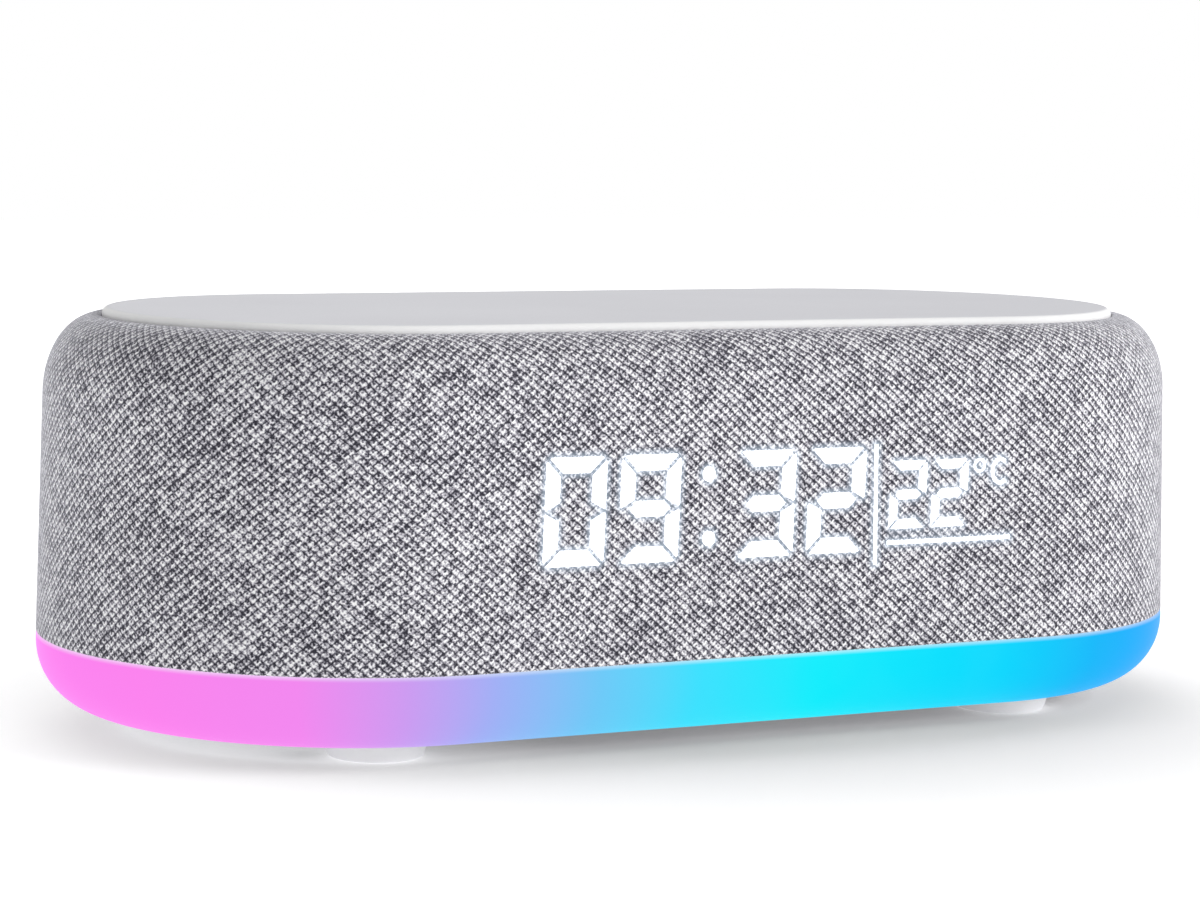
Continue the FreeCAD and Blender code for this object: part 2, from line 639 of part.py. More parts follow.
def make_plate():
    """The charging plate: a moulded lid with a softened rim, a skirt and four screw bosses."""
    lid = stadium_form("plate_form", PLATE_RADIUS, SEAT_HEIGHT, PLATE_TOP, "plate_edge_radius")
    extrude(lid, "XY", SEAT_HEIGHT, f"{PLATE_TOP} - plate_wall",
            lambda draw: draw.stadium("0", "0", END_CENTRE, f"{PLATE_RADIUS} - plate_skirt"), remove=True)
    extrude(lid, "XY", SEAT_HEIGHT, f"{PLATE_TOP} - plate_wall / 2",
            lambda draw: four_circles(draw, PLATE_SCREW_X, PLATE_SCREW_Y, "plate_boss_radius"))
    extrude(lid, "XY", SEAT_HEIGHT, f"{SEAT_HEIGHT} + plate_screw_grip + fit_gap",
            lambda draw: four_circles(draw, PLATE_SCREW_X, PLATE_SCREW_Y, SMALL_PILOT), remove=True)
    keep(lid, "top_plate")
    keep(gather("plate_fixings", [
        screw("plate_screw_%d" % number, "Z", -1,
              (f"{across} * {PLATE_SCREW_X}", f"{along} * {PLATE_SCREW_Y}", CEILING),
              "housing_wall + plate_screw_grip")
        for number, (across, along) in enumerate(QUADRANTS)]), "plate_screws")

    dish = f"{WELL_RADIUS} - fit_gap"
    floor, wall = "-well_depth + well_wall", f"{dish} - well_wall"
    keep(turn("carrier", "Z", ("0", "0", SEAT_HEIGHT), [
        ("-well_depth", "0"), ("-well_depth", dish), ("0", dish), ("0", f"{WELL_RADIUS} + well_flange"),
        ("well_wall", f"{WELL_RADIUS} + well_flange"), ("well_wall", wall), (floor, wall), (floor, "0")]),
        "coil_carrier")
    ferrite_low = f"({SEAT_HEIGHT} - well_depth + well_wall)"
    keep(turn("ferrite", "Z", ("0", "0", ferrite_low), [
        ("0", "0"), ("0", FERRITE_RADIUS), ("ferrite_thickness", FERRITE_RADIUS),
        ("ferrite_thickness", "0")]), "coil_ferrite")
    keep(turn("coil", "Z", ("0", "0", f"{ferrite_low} + ferrite_thickness"), [
        ("0", COIL_BORE), ("0", COIL_RADIUS), ("coil_thickness", COIL_RADIUS),
        ("coil_thickness", COIL_BORE)]), "charging_coil")


def make_band():
    """The light band: a diffuser ring of J section with a lip that the base cover clamps."""
    outer = stadium_form("band_outer", END_RADIUS, "foot_height", BAND_TOP, BAND_ROUND, round_at="low")
    inner = stadium_form("band_inner", BAND_INNER_RADIUS, "foot_height + band_wall", f"{BAND_TOP} + overrun",
                         f"{BAND_ROUND} - band_wall", round_at="low")
    mouth = prism("band_mouth", "XY", "foot_height - overrun", f"{COVER_TOP} + lip_height + overrun",
                  lambda draw: draw.stadium("0", "0", END_CENTRE, f"{COVER_RADIUS} + fit_gap"))
    lip = new_body("band_lip")
    stadium_ring(lip, f"{END_RADIUS} - lip_inset", f"{RIM_RADIUS} + fit_gap", COVER_TOP,
                 f"{COVER_TOP} + lip_height")
    ring = cut("band_ring", outer, gather("band_hollows", [inner, mouth]))
    keep(join("band", [ring, lip]), "light_band")


def make_base():
    """The base cover with its rim, screw bosses and board posts, the screws, and four feet."""
    cover = new_body("cover")
    extrude(cover, "XY", "foot_height", COVER_TOP, lambda draw: draw.stadium("0", "0", END_CENTRE, COVER_RADIUS))
    stadium_ring(cover, RIM_RADIUS, f"{RIM_RADIUS} - rim_wall", COVER_TOP, RIM_TOP)
    extrude(cover, "XY", COVER_TOP, RIM_TOP,
            lambda draw: four_circles(draw, COLUMN_X, COLUMN_Y, "base_boss_radius"))
    extrude(cover, "XY", COVER_TOP, "main_board_bottom",
            lambda draw: four_circles(draw, MAIN_SCREW_X, MAIN_SCREW_Y, "small_boss_radius"))
    sink = "(foot_height + 2 * screw_head_height)"
    extrude(cover, "XY", "foot_height", sink,
            lambda draw: four_circles(draw, COLUMN_X, COLUMN_Y, "screw_head + fit_gap"), remove=True)
    extrude(cover, "XY", sink, RIM_TOP,
            lambda draw: four_circles(draw, COLUMN_X, COLUMN_Y, "screw_shank + fit_gap"), remove=True)
    extrude(cover, "XY", "main_board_bottom - main_screw_grip - overrun", "main_board_bottom",
            lambda draw: four_circles(draw, MAIN_SCREW_X, MAIN_SCREW_Y, SMALL_PILOT), remove=True)
    extrude(cover, "XY", "foot_height", COVER_TOP,
            lambda draw: four_circles(draw, FOOT_X, FOOT_Y, "foot_stud_radius + slip_gap"), remove=True)
    keep(cover, "base_cover")
    keep(gather("base_fixings", [
        screw("base_screw_%d" % number, "Z", -1, (f"{across} * {COLUMN_X}", f"{along} * {COLUMN_Y}", sink),
              f"{HOUSING_BOTTOM} + base_screw_grip - {sink}", "screw_shank", "screw_head", "screw_head_height")
        for number, (across, along) in enumerate(QUADRANTS)]), "base_screws")
    for across, along in QUADRANTS:
        name = "foot_%s_%s" % ("front" if along < 0 else "rear", "left" if across < 0 else "right")
        keep(turn(name + "_form", "Z", (f"{across} * {FOOT_X}", f"{along} * {FOOT_Y}", "0"), [
            ("0", "0"), ("0", "foot_bottom_radius - foot_edge"), ("foot_edge", "foot_bottom_radius"),
            ("foot_height", "foot_top_radius"), ("foot_height", "foot_stud_radius"),
            (COVER_TOP, "foot_stud_radius"), (COVER_TOP, "0")]), name)


def make_lights():
    """The flexible light strip round the base cover's rim, with its light sources facing the band."""
    low, high = f"{STRIP_MIDDLE} - strip_height / 2", f"{STRIP_MIDDLE} + strip_height / 2"
    back = f"({RIM_RADIUS} + slip_gap)"
    strip = new_body("strip")
    stadium_ring(strip, f"{back} + strip_thickness", back, low, high)
    keep(strip, "light_strip")
    face = f"({back} + strip_thickness)"
    sources = []
    for step in centred(int(value("led_count"))):
        place = f"{step} * 2 * {END_CENTRE} / led_count"
        for side in (-1, 1):
            y = sorted_pair(f"{side} * {face}", f"{side} * ({face} + led_depth)", side)
            sources.append(block("source", (f"{place} - led_size / 2", f"{place} + led_size / 2"), y,
                                 (f"{STRIP_MIDDLE} - led_size / 2", f"{STRIP_MIDDLE} + led_size / 2")))
    for sign in SIDES.values():
        for angle in (-60, -30, 0, 30, 60):
            heading = angle if sign > 0 else 180 - angle
            source = doc.addObject("Part::Box", "end_source")
            source.Placement.Rotation = FreeCAD.Rotation(FreeCAD.Vector(0, 0, 1), heading)
            bind(source, Length="led_depth", Width="led_size", Height="led_size",
                 Placement__Base__x=f"{sign} * {END_CENTRE} + ({face} + slip_gap) * cos({heading} deg)"
                                    f" + led_size / 2 * sin({heading} deg)",
                 Placement__Base__y=f"({face} + slip_gap) * sin({heading} deg) - led_size / 2 * cos({heading} deg)",
                 Placement__Base__z=f"{STRIP_MIDDLE} - led_size / 2")
            sources.append(source)
    keep(gather("sources", sources), "light_sources")


def segment_corners(name, width, height, stroke, gap):
    """The six corners of one bar of a seven-bar digit about the digit's middle."""
    half_width, half_height, half_stroke = width / 2 - stroke / 2, height / 2 - stroke / 2, stroke / 2
    rows = {"top": half_height, "middle": 0.0, "bottom": -half_height}
    if name in rows:
        y = rows[name]
        reach = half_width - gap
        return [(-reach, y), (-reach + half_stroke, y + half_stroke), (reach - half_stroke, y + half_stroke),
                (reach, y), (reach - half_stroke, y - half_stroke), (-reach + half_stroke, y - half_stroke)]
    x = half_width if "right" in name else -half_width
    low, high = (gap, half_height - gap) if "upper" in name else (gap - half_height, -gap)
    return [(x, low), (x + half_stroke, low + half_stroke), (x + half_stroke, high - half_stroke), (x, high),
            (x - half_stroke, high - half_stroke), (x - half_stroke, low + half_stroke)]


BARS = ("top", "middle", "bottom", "upper_left", "upper_right", "lower_left", "lower_right")


def make_display():
    """The display: a tinted filter, a moulded block with one light well for each bar, and its board."""
    edge = "(window_half_width - fit_gap)"
    low, high = f"({WINDOW_BOTTOM} + fit_gap)", f"({WINDOW_TOP} - fit_gap)"
    keep(prism("filter", "XZ", FILTER_FRONT, FILTER_BACK,
               lambda draw: draw.rectangle(f"-{edge}", edge, low, high)), "display_filter")

    # The wells are a field of slanted bars, so their block is made from the sheet's values directly
    front, depth = value(FILTER_BACK), value("block_depth")
    slant = value("digit_slant") / value("digit_height")
    middle = value(f"{MIDDLE} + digit_rise")

    def well(points, lean=slant):
        spots = [FreeCAD.Vector(x + lean * (z - middle), front, z) for x, z in points]
        return Part.Face(Part.makePolygon(spots + spots[:1])).extrude(FreeCAD.Vector(0, depth, 0))

    def bar(left, right, bottom, top):
        return well([(left, bottom), (right, bottom), (right, top), (left, top)], 0)

    def digit(x, z, width, height, stroke):
        return [well([(x + across, z + up) for across, up in
                      segment_corners(name, value(width), value(height), value(stroke), value("segment_gap"))])
                for name in BARS]

    wells = []
    colon, reach, pitch = value("colon_x"), value("colon_to_digit"), value("digit_pitch")
    for x in (colon - reach - pitch, colon - reach, colon + reach, colon + reach + pitch):
        wells += digit(x, middle, "digit_width", "digit_height", "stroke")
    for step in (0, 1):
        x = value("small_digit_x") + step * value("small_digit_pitch")
        wells += digit(x, value(f"{MIDDLE} + small_digit_rise"), "small_digit_width", "small_digit_height",
                       "small_stroke")
    back = FreeCAD.Vector(0, 1, 0)
    for side in (-1, 1):
        centre = FreeCAD.Vector(colon, front, middle - value("colon_drop") + side * value("colon_spread"))
        wells.append(Part.makeCylinder(value("colon_dot_radius"), depth, centre, back))
    degree = FreeCAD.Vector(value("degree_x"), front, value(f"{MIDDLE} + degree_rise"))
    wells.append(Part.makeCylinder(value("degree_radius"), depth, degree, back))
    rule, half_rule = value("rule_x"), value("rule_width") / 2
    rule_low = middle - value("rule_drop") - value("rule_height") / 2
    wells.append(bar(rule - half_rule, rule + half_rule, rule_low, rule_low + value("rule_height")))
    line, half_line = value(f"{MIDDLE} - underline_drop"), value("underline_width") / 2
    wells.append(bar(value("underline_left"), value("underline_right"), line - half_line, line + half_line))
    left, right = value("celsius_left"), value("celsius_right")
    top = value(f"{MIDDLE} + celsius_rise")
    bottom, thick = top - value("celsius_height"), value("celsius_stroke")
    wells.append(well([(right, top), (left + thick / 2, top), (left, top - thick / 2), (left, bottom + thick / 2),
                       (left + thick / 2, bottom), (right, bottom), (right, bottom + thick),
                       (left + thick, bottom + thick), (left + thick, top - thick), (right, top - thick)], 0))
    block_shape = Part.makeBox(2 * value(edge), depth, value(high) - value(low),
                               FreeCAD.Vector(-value(edge), front, value(low)))
    segment_block = doc.addObject("Part::Feature", "segment_block")
    segment_block.Shape = block_shape.cut(wells)
    keep(segment_block, "display_block")

    def board_outline(draw):
        draw.rectangle("-display_board_half_width", "display_board_half_width",
                       f"{MIDDLE} - display_board_half_height", f"{MIDDLE} + display_board_half_height")
        for x, z in display_screw_places():
            draw.circle(x, z, SMALL_HOLE)

    keep(prism("display_circuit", "XZ", BLOCK_BACK, DISPLAY_BOARD_BACK, board_outline), "display_board")
    keep(gather("display_fixings", [
        screw("display_screw_%d" % number, "Y", 1, (x, DISPLAY_BOARD_BACK, z),
              "board_thickness + display_screw_grip")
        for number, (x, z) in enumerate(display_screw_places())]), "display_screws")

    drop = f"(ribbon_inset - {MAIN_HALF_WIDTH})"
    level = f"({WINDOW_BOTTOM} + ribbon_rise)"
    thick = "ribbon_thickness"
    keep(prism("ribbon", "YZ", "-ribbon_half_width", "ribbon_half_width", lambda draw: draw.polygon(
        (DISPLAY_BOARD_BACK, level), (drop, level), (drop, MAIN_BOARD_TOP), (f"{drop} + {thick}", MAIN_BOARD_TOP),
        (f"{drop} + {thick}", f"{level} + {thick}"), (DISPLAY_BOARD_BACK, f"{level} + {thick}"))), "display_ribbon")


def make_rear():
    """The rear panel with its buttons, switches, power inlet, sensor and board."""
    def hole(draw, extra):
        for index in range(len(BUTTON_NAMES)):
            draw.circle(f"{index} * button_pitch - {PANEL_HALF_SPAN}", MIDDLE, f"button_radius + {extra}")
        draw.stadium(INLET_X, MIDDLE, "inlet_half_span", f"inlet_radius + {extra}")
        draw.circle(VENT_X, MIDDLE, "vent_radius")

    standoffs = [(f"{across} * ({PANEL_HALF_SPAN} + standoff_reach)", f"{MIDDLE} + {along} * standoff_rise")
                 for across, along in QUADRANTS]
    panel = new_body("panel")
    extrude(panel, "XZ", PANEL_SEAT, PANEL_FACE, lambda draw: draw.stadium(
        "0", MIDDLE, PANEL_HALF_SPAN, "panel_radius"))
    extrude(panel, "XZ", PANEL_BACK, PANEL_SEAT, lambda draw: draw.stadium(
        "0", MIDDLE, PANEL_HALF_SPAN, "panel_radius + panel_flange"))
    extrude(panel, "XZ", REAR_BOARD_FRONT, PANEL_BACK, lambda draw: [
        draw.circle(x, z, "standoff_radius") for x, z in standoffs])
    extrude(panel, "XZ", PANEL_BACK, f"{PANEL_FACE} - panel_wall", lambda draw: draw.stadium(
        "0", MIDDLE, PANEL_HALF_SPAN, "panel_pocket_radius"), remove=True)
    extrude(panel, "XZ", f"{PANEL_FACE} - panel_wall", PANEL_FACE, lambda draw: hole(draw, "fit_gap"),
            remove=True)
    extrude(panel, "XZ", PANEL_BACK, PANEL_SEAT, lambda draw: [
        draw.circle(x, z, SMALL_HOLE) for x, z in panel_screw_places()], remove=True)
    extrude(panel, "XZ", REAR_BOARD_FRONT, f"{PANEL_BACK} + overrun", lambda draw: [
        draw.circle(x, z, SMALL_PILOT) for x, z in standoffs], remove=True)
    keep(panel, "rear_panel")
    keep(gather("panel_fixings", [
        screw("panel_screw_%d" % number, "Y", -1, (x, PANEL_BACK, z), "panel_flange_thickness + panel_screw_grip")
        for number, (x, z) in enumerate(panel_screw_places())]), "rear_panel_screws")

    for index, name in enumerate(BUTTON_NAMES):
        place = (f"{index} * button_pitch - {PANEL_HALF_SPAN}", "0", MIDDLE)
        tip = f"({PANEL_FACE} + button_rise)"
        keep(turn(name + "_cap", "Y", place, [
            (f"{PLUNGER_FRONT} + slip_gap", "0"), (f"{PLUNGER_FRONT} + slip_gap", "button_stem_radius"),
            (BUTTON_FLANGE_BACK, "button_stem_radius"), (BUTTON_FLANGE_BACK, BUTTON_FLANGE_RADIUS),
            (BUTTON_FLANGE_FRONT, BUTTON_FLANGE_RADIUS), (BUTTON_FLANGE_FRONT, "button_radius"),
            (f"{tip} - button_dish", "button_radius"), (tip, "button_radius - button_dish"),
            (f"{tip} - button_dish", "0")]), name + "_button")
        keep(turn(name + "_actuator", "Y", place, [
            (f"{SWITCH_FRONT} - plunger_sunk", "0"), (f"{SWITCH_FRONT} - plunger_sunk", "plunger_radius"),
            (PLUNGER_FRONT, "plunger_radius"), (PLUNGER_FRONT, "0")]), name + "_plunger")

    switches = []
    for index in range(len(BUTTON_NAMES)):
        x = f"{index} * button_pitch - {PANEL_HALF_SPAN}"
        case = prism("switch", "XZ", REAR_BOARD_FRONT, SWITCH_FRONT, lambda draw: draw.rectangle(
            f"{x} - switch_width / 2", f"{x} + switch_width / 2", f"{MIDDLE} - switch_width / 2",
            f"{MIDDLE} + switch_width / 2"))
        extrude(case, "XZ", f"{SWITCH_FRONT} - 2 * plunger_sunk", SWITCH_FRONT, lambda draw: draw.circle(
            x, MIDDLE, "plunger_radius + slip_gap"), remove=True)
        switches.append(case)
    keep(gather("switches", switches), "tact_switches")

    shell = prism("inlet_shell", "XZ", REAR_BOARD_FRONT, PANEL_FACE, lambda draw: draw.stadium(
        INLET_X, MIDDLE, "inlet_half_span", "inlet_radius"))
    extrude(shell, "XZ", f"{PANEL_FACE} - inlet_depth", PANEL_FACE, lambda draw: draw.stadium(
        INLET_X, MIDDLE, "inlet_half_span", "inlet_radius - inlet_wall"), remove=True)
    extrude(shell, "XZ", f"{PANEL_FACE} - inlet_depth", f"{PANEL_FACE} - inlet_depth + tongue_length",
            lambda draw: draw.rectangle(f"{INLET_X} - tongue_half_width", f"{INLET_X} + tongue_half_width",
                                        f"{MIDDLE} - tongue_thickness / 2", f"{MIDDLE} + tongue_thickness / 2"))
    keep(shell, "usb_inlet")
    keep(turn("sensor", "Y", (VENT_X, "0", MIDDLE), [
        (REAR_BOARD_FRONT, "0"), (REAR_BOARD_FRONT, "sensor_radius"),
        (f"{PANEL_FACE} - panel_wall - fit_gap", "sensor_radius"),
        (f"{PANEL_FACE} - panel_wall - fit_gap", "0")]), "temperature_sensor")

    def board_outline(draw):
        draw.rectangle(f"-{PANEL_HALF_SPAN} - rear_board_reach", f"{PANEL_HALF_SPAN} + rear_board_reach",
                       f"{MIDDLE} - rear_board_half_height", f"{MIDDLE} + rear_board_half_height")
        for x, z in standoffs:
            draw.circle(x, z, SMALL_HOLE)

    keep(prism("rear_circuit", "XZ", REAR_BOARD_BACK, REAR_BOARD_FRONT, board_outline), "rear_board")
    return [screw("rear_board_screw_%d" % number, "Y", -1, (x, REAR_BOARD_BACK, z),
                  "board_thickness + rear_screw_grip") for number, (x, z) in enumerate(standoffs)]


def make_main_board(other_screws):
    """The main board on the base cover's posts, with its wireless module and back-up cell."""
    def outline(draw):
        draw.rectangle("-main_board_half_length", "main_board_half_length",
                       f"-{MAIN_HALF_WIDTH}", MAIN_HALF_WIDTH)
        four_circles(draw, MAIN_SCREW_X, MAIN_SCREW_Y, SMALL_HOLE)

    keep(prism("main_circuit", "XY", "main_board_bottom", MAIN_BOARD_TOP, outline), "main_board")
    keep(gather("board_fixings", other_screws + [
        screw("main_screw_%d" % number, "Z", 1,
              (f"{across} * {MAIN_SCREW_X}", f"{along} * {MAIN_SCREW_Y}", MAIN_BOARD_TOP),
              "board_thickness + main_screw_grip")
        for number, (across, along) in enumerate(QUADRANTS)]), "board_screws")
    keep(block("module", ("module_x - module_length / 2", "module_x + module_length / 2"),
               ("-module_width / 2", "module_width / 2"), (MAIN_BOARD_TOP, f"{MAIN_BOARD_TOP} + module_height")),
         "wireless_module")
    holder = prism("holder", "XY", MAIN_BOARD_TOP, f"{MAIN_BOARD_TOP} + holder_height", lambda draw: draw.rectangle(
        "holder_x - holder_length / 2", "holder_x + holder_length / 2", "-holder_width / 2", "holder_width / 2"))
    extrude(holder, "XY", CELL_HEIGHT, f"{MAIN_BOARD_TOP} + holder_height", lambda draw: draw.circle(
        "holder_x", "0", "cell_radius + fit_gap"), remove=True)
    keep(holder, "cell_holder")
    keep(turn("cell", "Z", ("holder_x", "0", CELL_HEIGHT), [
        ("0", "0"), ("0", "cell_radius - cell_edge"), ("cell_edge", "cell_radius"),
        ("cell_thickness", "cell_radius"), ("cell_thickness", "0")]), "coin_cell")


def make_speaker(side, sign):
    """One end speaker: frame, magnet, coil, cone and surround turned about its axis."""
    place = (f"{sign} * {BAFFLE_X}", "0", MIDDLE)

    def along(expression):
        return f"{-sign} * ({expression})"

    def turned(name, profile):
        return keep(turn(side + "_" + name, "X", place, [(along(deep), radius) for deep, radius in profile]),
                    "%s_speaker_%s" % (side, name))

    magnet_front = "(driver_depth - magnet_depth)"
    gap_floor = "(driver_depth - magnet_floor)"
    throat = "coil_tube_radius + pole_gap + magnet_land"
    lip = f"({BORE_RADIUS} - surround_rim)"
    frame = turned("frame", [
        ("0", BORE_RADIUS), ("0", DRIVER_RADIUS), ("driver_flange", DRIVER_RADIUS),
        ("driver_flange", f"{BORE_RADIUS} + frame_wall"), ("frame_back", FRAME_BACK_RADIUS),
        (magnet_front, FRAME_BACK_RADIUS), (magnet_front, throat), ("frame_back", throat),
        ("frame_back - frame_floor", f"{FRAME_BACK_RADIUS} - frame_corner"), ("driver_flange", lip),
        ("surround_seat", lip), ("surround_seat", BORE_RADIUS)])
    low, high = sorted_pair(f"{sign} * ({BAFFLE_X} - driver_flange)", f"{sign} * {BAFFLE_X}", sign)
    extrude(frame, "YZ", low, high, lambda draw: [
        draw.circle(y, z, "small_shank + slip_gap") for y, z in driver_screw_places()], remove=True)
    turned("magnet", [
        (magnet_front, "0"), (magnet_front, "coil_tube_radius - coil_tube_wall - pole_gap"),
        (gap_floor, "coil_tube_radius - coil_tube_wall - pole_gap"), (gap_floor, "coil_tube_radius + pole_gap"),
        (magnet_front, "coil_tube_radius + pole_gap"), (magnet_front, FRAME_BACK_RADIUS),
        ("driver_depth", FRAME_BACK_RADIUS), ("driver_depth", "0")])
    apex = "(cone_set_back + cone_depth)"
    turned("cone", [
        ("cone_set_back", CONE_RADIUS), ("cone_set_back + cone_wall", CONE_RADIUS),
        (f"{apex} + cone_wall", "coil_tube_radius"), (f"{apex} - dome_rise", "0"),
        (f"{apex} - dome_rise - cone_wall", "0"), (apex, "coil_tube_radius + bond_gap")])
    turned("coil", [
        (f"{apex} + cone_wall", "coil_tube_radius - coil_tube_wall"), (f"{apex} + cone_wall", "coil_tube_radius"),
        (f"{gap_floor} - coil_end_gap", "coil_tube_radius"),
        (f"{gap_floor} - coil_end_gap", "coil_tube_radius - coil_tube_wall")])
    inner, rim = f"({CONE_RADIUS} + bond_gap)", f"({BORE_RADIUS} - bond_gap)"
    middle, front = f"(({inner} + {lip}) / 2)", "(surround_seat - surround_wall)"
    turned("surround", [
        (front, rim), (front, lip), (f"{front} - surround_bead", middle), (front, f"{inner} + surround_wall"),
        (front, inner), ("surround_seat", inner), ("surround_seat", f"{inner} + surround_wall"),
        ("surround_seat - surround_bead", middle), ("surround_seat", lip), ("surround_seat", rim)])
    return [screw("%s_driver_screw_%d" % (side, number), "X", -sign,
                  (f"{sign} * ({BAFFLE_X} - driver_flange)", y, z), "driver_screw_length - bond_gap")
            for number, (y, z) in enumerate(driver_screw_places())]


make_sleeve()
make_housing()
make_plate()
make_band()
make_base()
make_lights()
make_display()
make_main_board(make_rear())
driver_screws = [fixing for side, sign in SIDES.items() for fixing in make_speaker(side, sign)]
keep(gather("driver_fixings", driver_screws), "speaker_screws")
doc.recompute()

for item in doc.Objects:
    if "Invalid" in item.State or "Error" in item.State:
        raise RuntimeError("%s (%s) failed: %s" % (item.Label, item.TypeId, item.State))
for item in sub_parts:
    if item.Shape.isNull() or not item.Shape.isValid():
        raise RuntimeError("%s has no valid shape" % item.Label)

os.makedirs("parts", exist_ok=True)
for item in sub_parts:
    item.Shape.exportStep(os.path.join("parts", item.Label + ".step"))
    box = item.Shape.BoundBox
    print("%-24s %2d solids %10.1f mm3  x %7.2f %7.2f  y %7.2f %7.2f  z %6.2f %6.2f" % (
        item.Label, len(item.Shape.Solids), item.Shape.Volume, box.XMin, box.XMax, box.YMin, box.YMax,
        box.ZMin, box.ZMax))
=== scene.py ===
"""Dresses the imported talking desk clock: knitted sleeve, lit display, band and rear keys."""
import json
import logging
import math
from dataclasses import dataclass, field
from enum import Enum
from typing import Callable, Optional, Sequence

import bmesh
import bpy
import numpy as np
from mathutils import Matrix, Vector


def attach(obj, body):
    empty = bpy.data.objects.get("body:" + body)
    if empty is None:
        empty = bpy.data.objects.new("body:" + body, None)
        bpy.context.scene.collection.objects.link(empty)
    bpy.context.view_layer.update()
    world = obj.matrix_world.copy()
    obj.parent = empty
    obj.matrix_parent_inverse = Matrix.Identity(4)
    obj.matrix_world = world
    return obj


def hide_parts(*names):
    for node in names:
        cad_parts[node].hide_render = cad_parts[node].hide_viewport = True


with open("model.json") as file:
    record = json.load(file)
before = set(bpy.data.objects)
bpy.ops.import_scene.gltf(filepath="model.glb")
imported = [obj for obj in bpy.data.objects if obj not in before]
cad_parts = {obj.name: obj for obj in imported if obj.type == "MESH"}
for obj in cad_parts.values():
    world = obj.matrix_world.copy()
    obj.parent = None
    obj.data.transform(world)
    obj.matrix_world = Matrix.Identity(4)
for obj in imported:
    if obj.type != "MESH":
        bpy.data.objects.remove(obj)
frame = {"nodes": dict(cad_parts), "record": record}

LOG = logging.getLogger("clock")
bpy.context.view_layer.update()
MM = 0.001
BODY = "clock"
FULL_TURN = 2 * math.pi
QUADRANTS = ((-1, -1), (1, -1), (-1, 1), (1, 1))
GLOW = "glow"
FIRST_KEY_X = -36.0
KEY_PITCH = 12.0

Node = bpy.types.Node
Socket = bpy.types.NodeSocket
Material = bpy.types.Material
Piece = bpy.types.Object
Point2 = tuple[float, float]
Point3 = tuple[float, float, float]
Colour = tuple[float, float, float, float]
Profile = Sequence[Point2]
Depth = Callable[[float], float]


def paint(red: int, green: int, blue: int) -> Colour:
    """Turn a screen colour of 0 to 255 into the linear colour that a shader takes.

    Args:
        red: Red level.
        green: Green level.
        blue: Blue level.

    Returns:
        Linear red, green and blue, with full alpha.
    """
    def linear(level: int) -> float:
        """One channel, made linear."""
        share = level / 255
        return share / 12.92 if share <= 0.04045 else ((share + 0.055) / 1.055) ** 2.4
    return linear(red), linear(green), linear(blue), 1.0


WHITE = paint(255, 255, 255)
BLACK = paint(0, 0, 0)


# ---------------------------------------------------------------- finishes

